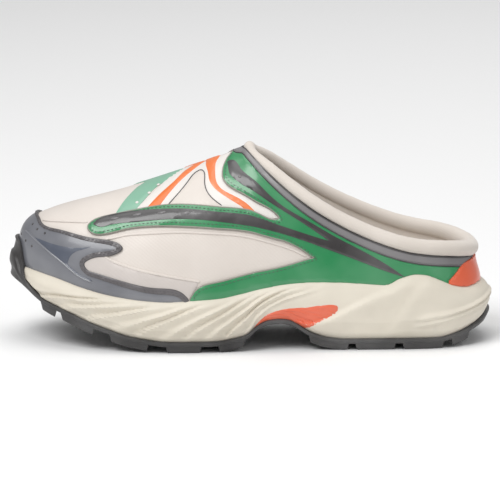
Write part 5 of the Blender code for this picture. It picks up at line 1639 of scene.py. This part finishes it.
def arch_insert(name, side):
    """The orange plastic let into the waist, with fine ridges along it."""
    size = np.array([LENGTH, RIM_HEIGHT])
    loop = resampled(np.array(ARCH_INSERT) * size, OUTLINE_STEP)
    floor_line = np.linspace(loop[-1], loop[0], 30)[1:-1]
    loop = np.vstack([loop, floor_line])
    spots, triangles, depth = layer_mesh(loop / SPREAD, INSERT_FILL_STEP)
    flat = spots * SPREAD / size
    v = side_at((flat[:, 0] - 0.5) * LENGTH, side)
    f = np.maximum(flat[:, 1], 0.0)
    rim_s = np.interp(np.mod(v, 2), V, RIM_S)
    ridges = 0.00022 * np.sin(2 * math.pi * 7 * (flat[:, 1] - 0.9 * (flat[:, 0] - 0.5)) / 0.6)
    crown = 0.0008 * smooth(depth / 0.0022) - 0.0003
    base = midsole_side(v, f, rim_s)
    base[:, 2] += np.minimum(flat[:, 1], 0.0) * 0.02
    out = outward(v)
    points = np.vstack([base + out * (crown + ridges * smooth(depth / 0.003))[:, None], base - out * 0.0030])
    return make_object(name, points, shell_faces(triangles, len(flat)), material("insert"))


# Outsole

def outsole_rings():
    """Under the midsole, up inside the lip and bumper, over its top, and down the outside to the bottom."""
    edge = with_height(outline(V), 0.0)
    out = outward(V)
    x = edge[:, 0]
    base = base_height(x)
    side = rim_height(x) - RIM_SOFTENING - base
    lip = LIP_HEIGHT + height_at(BUMPER, BUMPER_HEIGHT, x)
    outside = edge - out * height_at(EDGE, EDGE_INSET, x)[:, None]
    under = midsole_side(V, np.zeros(len(V)), RIM_S, carved=False)
    under[:, 2] = base - CLEARANCE
    rings = [under]

    def beside_midsole(z):
        f = np.clip((z - base) / side, 0, 1)
        place = midsole_side(V, f, RIM_S, carved=False) + out * (0.5 + 1.5 * smooth(f / 0.3))[:, None] * CLEARANCE
        place[:, 2] = z
        return place

    for level in np.linspace(0.1, 1.0, 10):
        rings.append(beside_midsole(base + np.minimum(lip, level * side)))
    rings.append(beside_midsole(base + np.minimum(lip, side + RIM_SOFTENING + 2 * CLEARANCE)))
    shoulder = rings[-1]
    over = base + lip - shoulder[:, 2]
    for share in np.linspace(0.12, 1.0, 6):
        z = shoulder[:, 2] + share * over
        place = skin(V, place_at_height(V, z), np.full(len(V), 0.0016))
        place[:, 2] = z
        rings.append(np.where((over > CLEARANCE)[:, None], place, shoulder))
    thick = np.minimum(BUMPER_TOP_WALL, 0.6 * ((outside - rings[-1]) * out)[:, :2].sum(axis=1))
    inner_top = rings[-1]
    for share, rise in ((0.25, 0.5), (0.6, 0.75), (1.0, 0.3)):
        crest = inner_top + out * (thick * share)[:, None]
        crest[:, 2] += rise * np.minimum(0.0008, 0.3 * thick)
        rings.append(crest)
    crest = rings[-1]
    # Two steps run across the bumper's face, as on the moulded wrap
    for share in np.linspace(0.94, 0.06, 22):
        blend = smooth((share - 0.35) / 0.65)
        ring = outside * (1 - blend) + (crest * (1, 1, 0)) * blend
        tall = smooth((lip - 0.004) / 0.008)
        step = 0.0011 * (smooth((0.66 - share) / 0.05) - smooth((0.36 - share) / 0.22)) - 0.0005
        ring = ring + out * (tall * step)[:, None]
        ring[:, 2] = base + lip * share
        rings.append(ring)
    for level, draw_in in ((-0.25, 0.0), (-0.55, 0.12), (-0.8, 0.4), (-1.0, 1.0)):
        ring = outside - out * draw_in * EDGE_ROUND
        ring[:, 2] = base + PLATE * level
        rings.append(ring)
    return rings


def edge_at(x, side, inset):
    """Points of the outline at x on one side, drawn in by an inset."""
    v = side_at(x, side)
    return with_height(outline(v), 0.0) - outward(v) * inset


def lug_block(name, outer, inner, rubber):
    """A tapered, bevelled block between two lines in plan, from the plate down to the ground."""
    count = len(outer)
    middle = (outer + inner) / 2
    centre = middle.mean(axis=0)
    width = np.linalg.norm((outer - inner)[:, :2], axis=1)[:, None]
    narrow = 1 - 2 * LUG_TAPER / width
    length = np.linalg.norm((outer[-1] - outer[0])[:2])
    shorter = 1 - 2 * LUG_TAPER / length
    rings = []
    for share in (0.0, 0.55, 0.62, 1.0):
        line = []
        for edge in (outer, inner):
            low = middle + (edge - middle) * (1 + (narrow - 1) * share)
            low = (low - centre) * (1 + (shorter - 1) * share, 1, 1) + centre
            root = base_height(edge[:, 0]) - LUG_ROOT * PLATE
            low[:, 2] = root + (ground(low[:, 0]) - root) * share
            line.append(low)
        rings.append(np.vstack([line[0], line[1][::-1]]))
    ring_size = 2 * count
    faces = row_faces(len(rings), ring_size, False)
    for a in (0, len(rings) - 1):
        for i in range(count - 1):
            faces.append([a * ring_size + k for k in (i, i + 1, ring_size - 2 - i, ring_size - 1 - i)])
    block = make_object(name, np.concatenate(rings), faces, rubber)
    bevel = block.modifiers.new("bevel", "BEVEL")
    bevel.width = 0.0005
    bevel.segments = 2
    bevel.limit_method = "ANGLE"
    bevel.angle_limit = math.radians(35)
    return applied(block)


def edge_lug(name, side, start, end, rubber):
    x = (np.linspace(start, end, 9) - 0.5) * LENGTH
    outer = edge_at(x, side, EDGE_INSET + 0.3 * EDGE_ROUND)
    inner = outer + (0.0, side * LUG_REACH, 0.0)
    return lug_block(name, outer, inner, rubber)


def centre_lug(name, half, start, end, rubber):
    x = (np.linspace(start, end, 9) - 0.5) * LENGTH
    across = (edge_at(x, 1, 0.0)[:, 1] + edge_at(x, -1, 0.0)[:, 1]) / 2 + half * CENTRE_LUG_PITCH
    outer = np.stack([x, across - CENTRE_LUG_WIDTH / 2, np.zeros_like(x)], axis=-1)
    inner = outer + (0.0, CENTRE_LUG_WIDTH, 0.0)
    return lug_block(name, outer, inner, rubber)


# Upper

def upper_shell():
    """One hollow shell of cloth outside and lining inside."""
    below = [RIM_S * k / RIM_ROWS for k in range(RIM_ROWS)]
    above = [RIM_S + (1 - RIM_S) * k / WALL_ROWS for k in range(WALL_ROWS + 1)]
    levels = np.array(below + above)
    rows, count = levels.shape
    outer = np.array([surface(V, s) for s in levels])
    inner = np.array([skin(V, s, np.full(count, -WALL)) for s in levels])
    inner[0, :, 2] = outer[0, :, 2]

    def spot(layer_index, row, column):
        column %= count
        if row == rows - 1 and (column <= FORE_COLUMNS or column >= count - FORE_COLUMNS):
            column = min(column, count - column) % count
        return (layer_index * rows + row) * count + column

    faces = []
    inside = []
    for row in range(rows - 1):
        for i in range(count):
            faces.append([spot(0, *p) for p in ((row, i), (row, i + 1), (row + 1, i + 1), (row + 1, i))])
            inside.append(0)
            faces.append([spot(1, *p) for p in ((row, i), (row + 1, i), (row + 1, i + 1), (row, i + 1))])
            inside.append(1)
    for i in range(count):
        faces.append([spot(0, 0, i), spot(1, 0, i), spot(1, 0, i + 1), spot(0, 0, i + 1)])
        inside.append(1)
    for i in range(FORE_COLUMNS, count - FORE_COLUMNS):
        edge = rows - 1
        faces.append([spot(0, edge, i), spot(0, edge, i + 1), spot(1, edge, i + 1), spot(1, edge, i)])
        inside.append(1)
    points = np.concatenate([outer.reshape(-1, 3), inner.reshape(-1, 3)])
    used = sorted({p for face in faces for p in face})
    renumber = {p: i for i, p in enumerate(used)}
    mesh = bpy.data.meshes.new("upper_cloth")
    mesh.from_pydata([tuple(p) for p in points[used]], [], [[renumber[p] for p in face] for face in faces])
    mesh.materials.append(material("cloth"))
    mesh.materials.append(material("lining"))
    mesh.polygons.foreach_set("material_index", inside)
    closed_up(mesh, SHELL_CREASE)
    return placed("upper_cloth", mesh)


def footbed():
    """A cloth-covered footbed on the cup's floor, its edge rounded over."""
    inside = WALL + CLEARANCE
    floor_z = surface(V, np.zeros_like(V))[:, 2]
    low = skin(V, np.zeros_like(V), np.full(len(V), -inside))
    low[:, 2] = floor_z
    rings = [low]
    for draw, rise in ((0.0, 0.7), (0.0006, 0.92), (0.0016, 1.0), (0.004, 0.97), (0.010, 0.94)):
        z = floor_z + INSOLE * rise
        ring = skin(V, place_at_height(V, z), np.full(len(V), -inside))
        ring[:, 2] = z
        ring[:, :2] -= outward(V)[:, :2] * draw
        rings.append(ring)
    return ring_solid("footbed_cloth", rings, material("lining"))


def collar_roll():
    """The padded roll on the upper's edge, fuller at the heel, with faint gathers."""
    sizes = bpy.context.scene.sneaker_sizes
    v = V[FORE_COLUMNS:len(V) - FORE_COLUMNS]
    edge = top(v)
    step = 1e-4
    along = unit(top(v + step) - top(v - step))
    along[0] = (0.0, -1.0, 0.0)
    out = normal(v, np.full_like(v, 0.995))
    for _ in range(6):
        out = unit(np.roll(out, 1, axis=0) + 2 * out + np.roll(out, -1, axis=0))
    beyond = unit(np.cross(out, along))
    back = smooth((side_place(v) - THROAT) / (1 - THROAT))
    radius = sizes.roll_front + (sizes.roll_back - sizes.roll_front) * back
    gather = 1 + 0.012 * np.sin(side_place(v) * 310) + 0.010 * np.sin(side_place(v) * 127 + 1.0)
    centre = edge - out * WALL / 2 + beyond * (radius * 0.80)[:, None]
    rings = []
    for k in range(ROLL_SIDES):
        a = 2 * math.pi * k / ROLL_SIDES
        size = radius * gather
        wide = 1.06 if math.cos(a) > 0 else 0.94
        rings.append(centre + out * (size * wide * math.cos(a))[:, None] + beyond * (size * math.sin(a))[:, None])
    return make_object("collar_padding", np.concatenate(rings), row_faces(ROLL_SIDES, len(v), True),
                       material("lining"))


def collar_band():
    """The grey band from the heel piece round the front of the opening and back, its edges rounded over."""
    sizes = bpy.context.scene.sneaker_sizes
    loops = []
    for share, lift in BAND_PROFILE:
        distance = BAND_TOP + (BAND_WIDTH - BAND_TOP) * share
        ring = collar_ring(distance, heel_line(distance))
        height = 0.0001 if lift is None else 0.0002 + sizes.film * 1.2 * lift
        loops.append(skin(ring[:, 0], ring[:, 1], np.full(len(ring), height)))
    count = len(loops[0])
    faces = row_faces(len(loops), count, True, False)
    for i in (0, count - 1):
        faces.append([k * count + i for k in range(len(loops))])
    return make_object("collar_film", np.concatenate(loops), faces, material("band"))


class SNEAKER_PT_panel(bpy.types.Panel):
    """Buttons for the sneaker's pieces and its settings"""

    bl_idname = "SNEAKER_PT_panel"
    bl_label = "Slip-on sneaker"
    bl_space_type = "VIEW_3D"
    bl_region_type = "UI"
    bl_category = "Sneaker"

    def draw(self, context):
        for operator in OPERATORS:
            self.layout.operator(operator.bl_idname)
        for settings in (context.scene.sneaker_sizes, context.scene.sneaker_colours):
            for name in settings.__annotations__:
                self.layout.prop(settings, name)


OPERATORS = (
    SNEAKER_OT_outsole,
    SNEAKER_OT_midsole,
    SNEAKER_OT_upper,
    SNEAKER_OT_collar,
    SNEAKER_OT_toe_cap,
    SNEAKER_OT_cage,
    SNEAKER_OT_vamp,
    SNEAKER_OT_stitching,
    SNEAKER_OT_stage,
)
CLASSES = (SneakerSizes, SneakerColours, *OPERATORS, SNEAKER_PT_panel)


def register():
    for one in CLASSES:
        bpy.utils.register_class(one)
    bpy.types.Scene.sneaker_sizes = bpy.props.PointerProperty(type=SneakerSizes)
    bpy.types.Scene.sneaker_colours = bpy.props.PointerProperty(type=SneakerColours)


def unregister():
    del bpy.types.Scene.sneaker_colours
    del bpy.types.Scene.sneaker_sizes
    for one in reversed(CLASSES):
        bpy.utils.unregister_class(one)


def main():
    register()
    bpy.ops.sneaker.outsole()
    bpy.ops.sneaker.midsole()
    bpy.ops.sneaker.upper()
    bpy.ops.sneaker.collar()
    bpy.ops.sneaker.toe_cap()
    bpy.ops.sneaker.cage()
    bpy.ops.sneaker.vamp()
    bpy.ops.sneaker.stitching()
    bpy.ops.sneaker.stage()


if __name__ == "__main__":
    main()
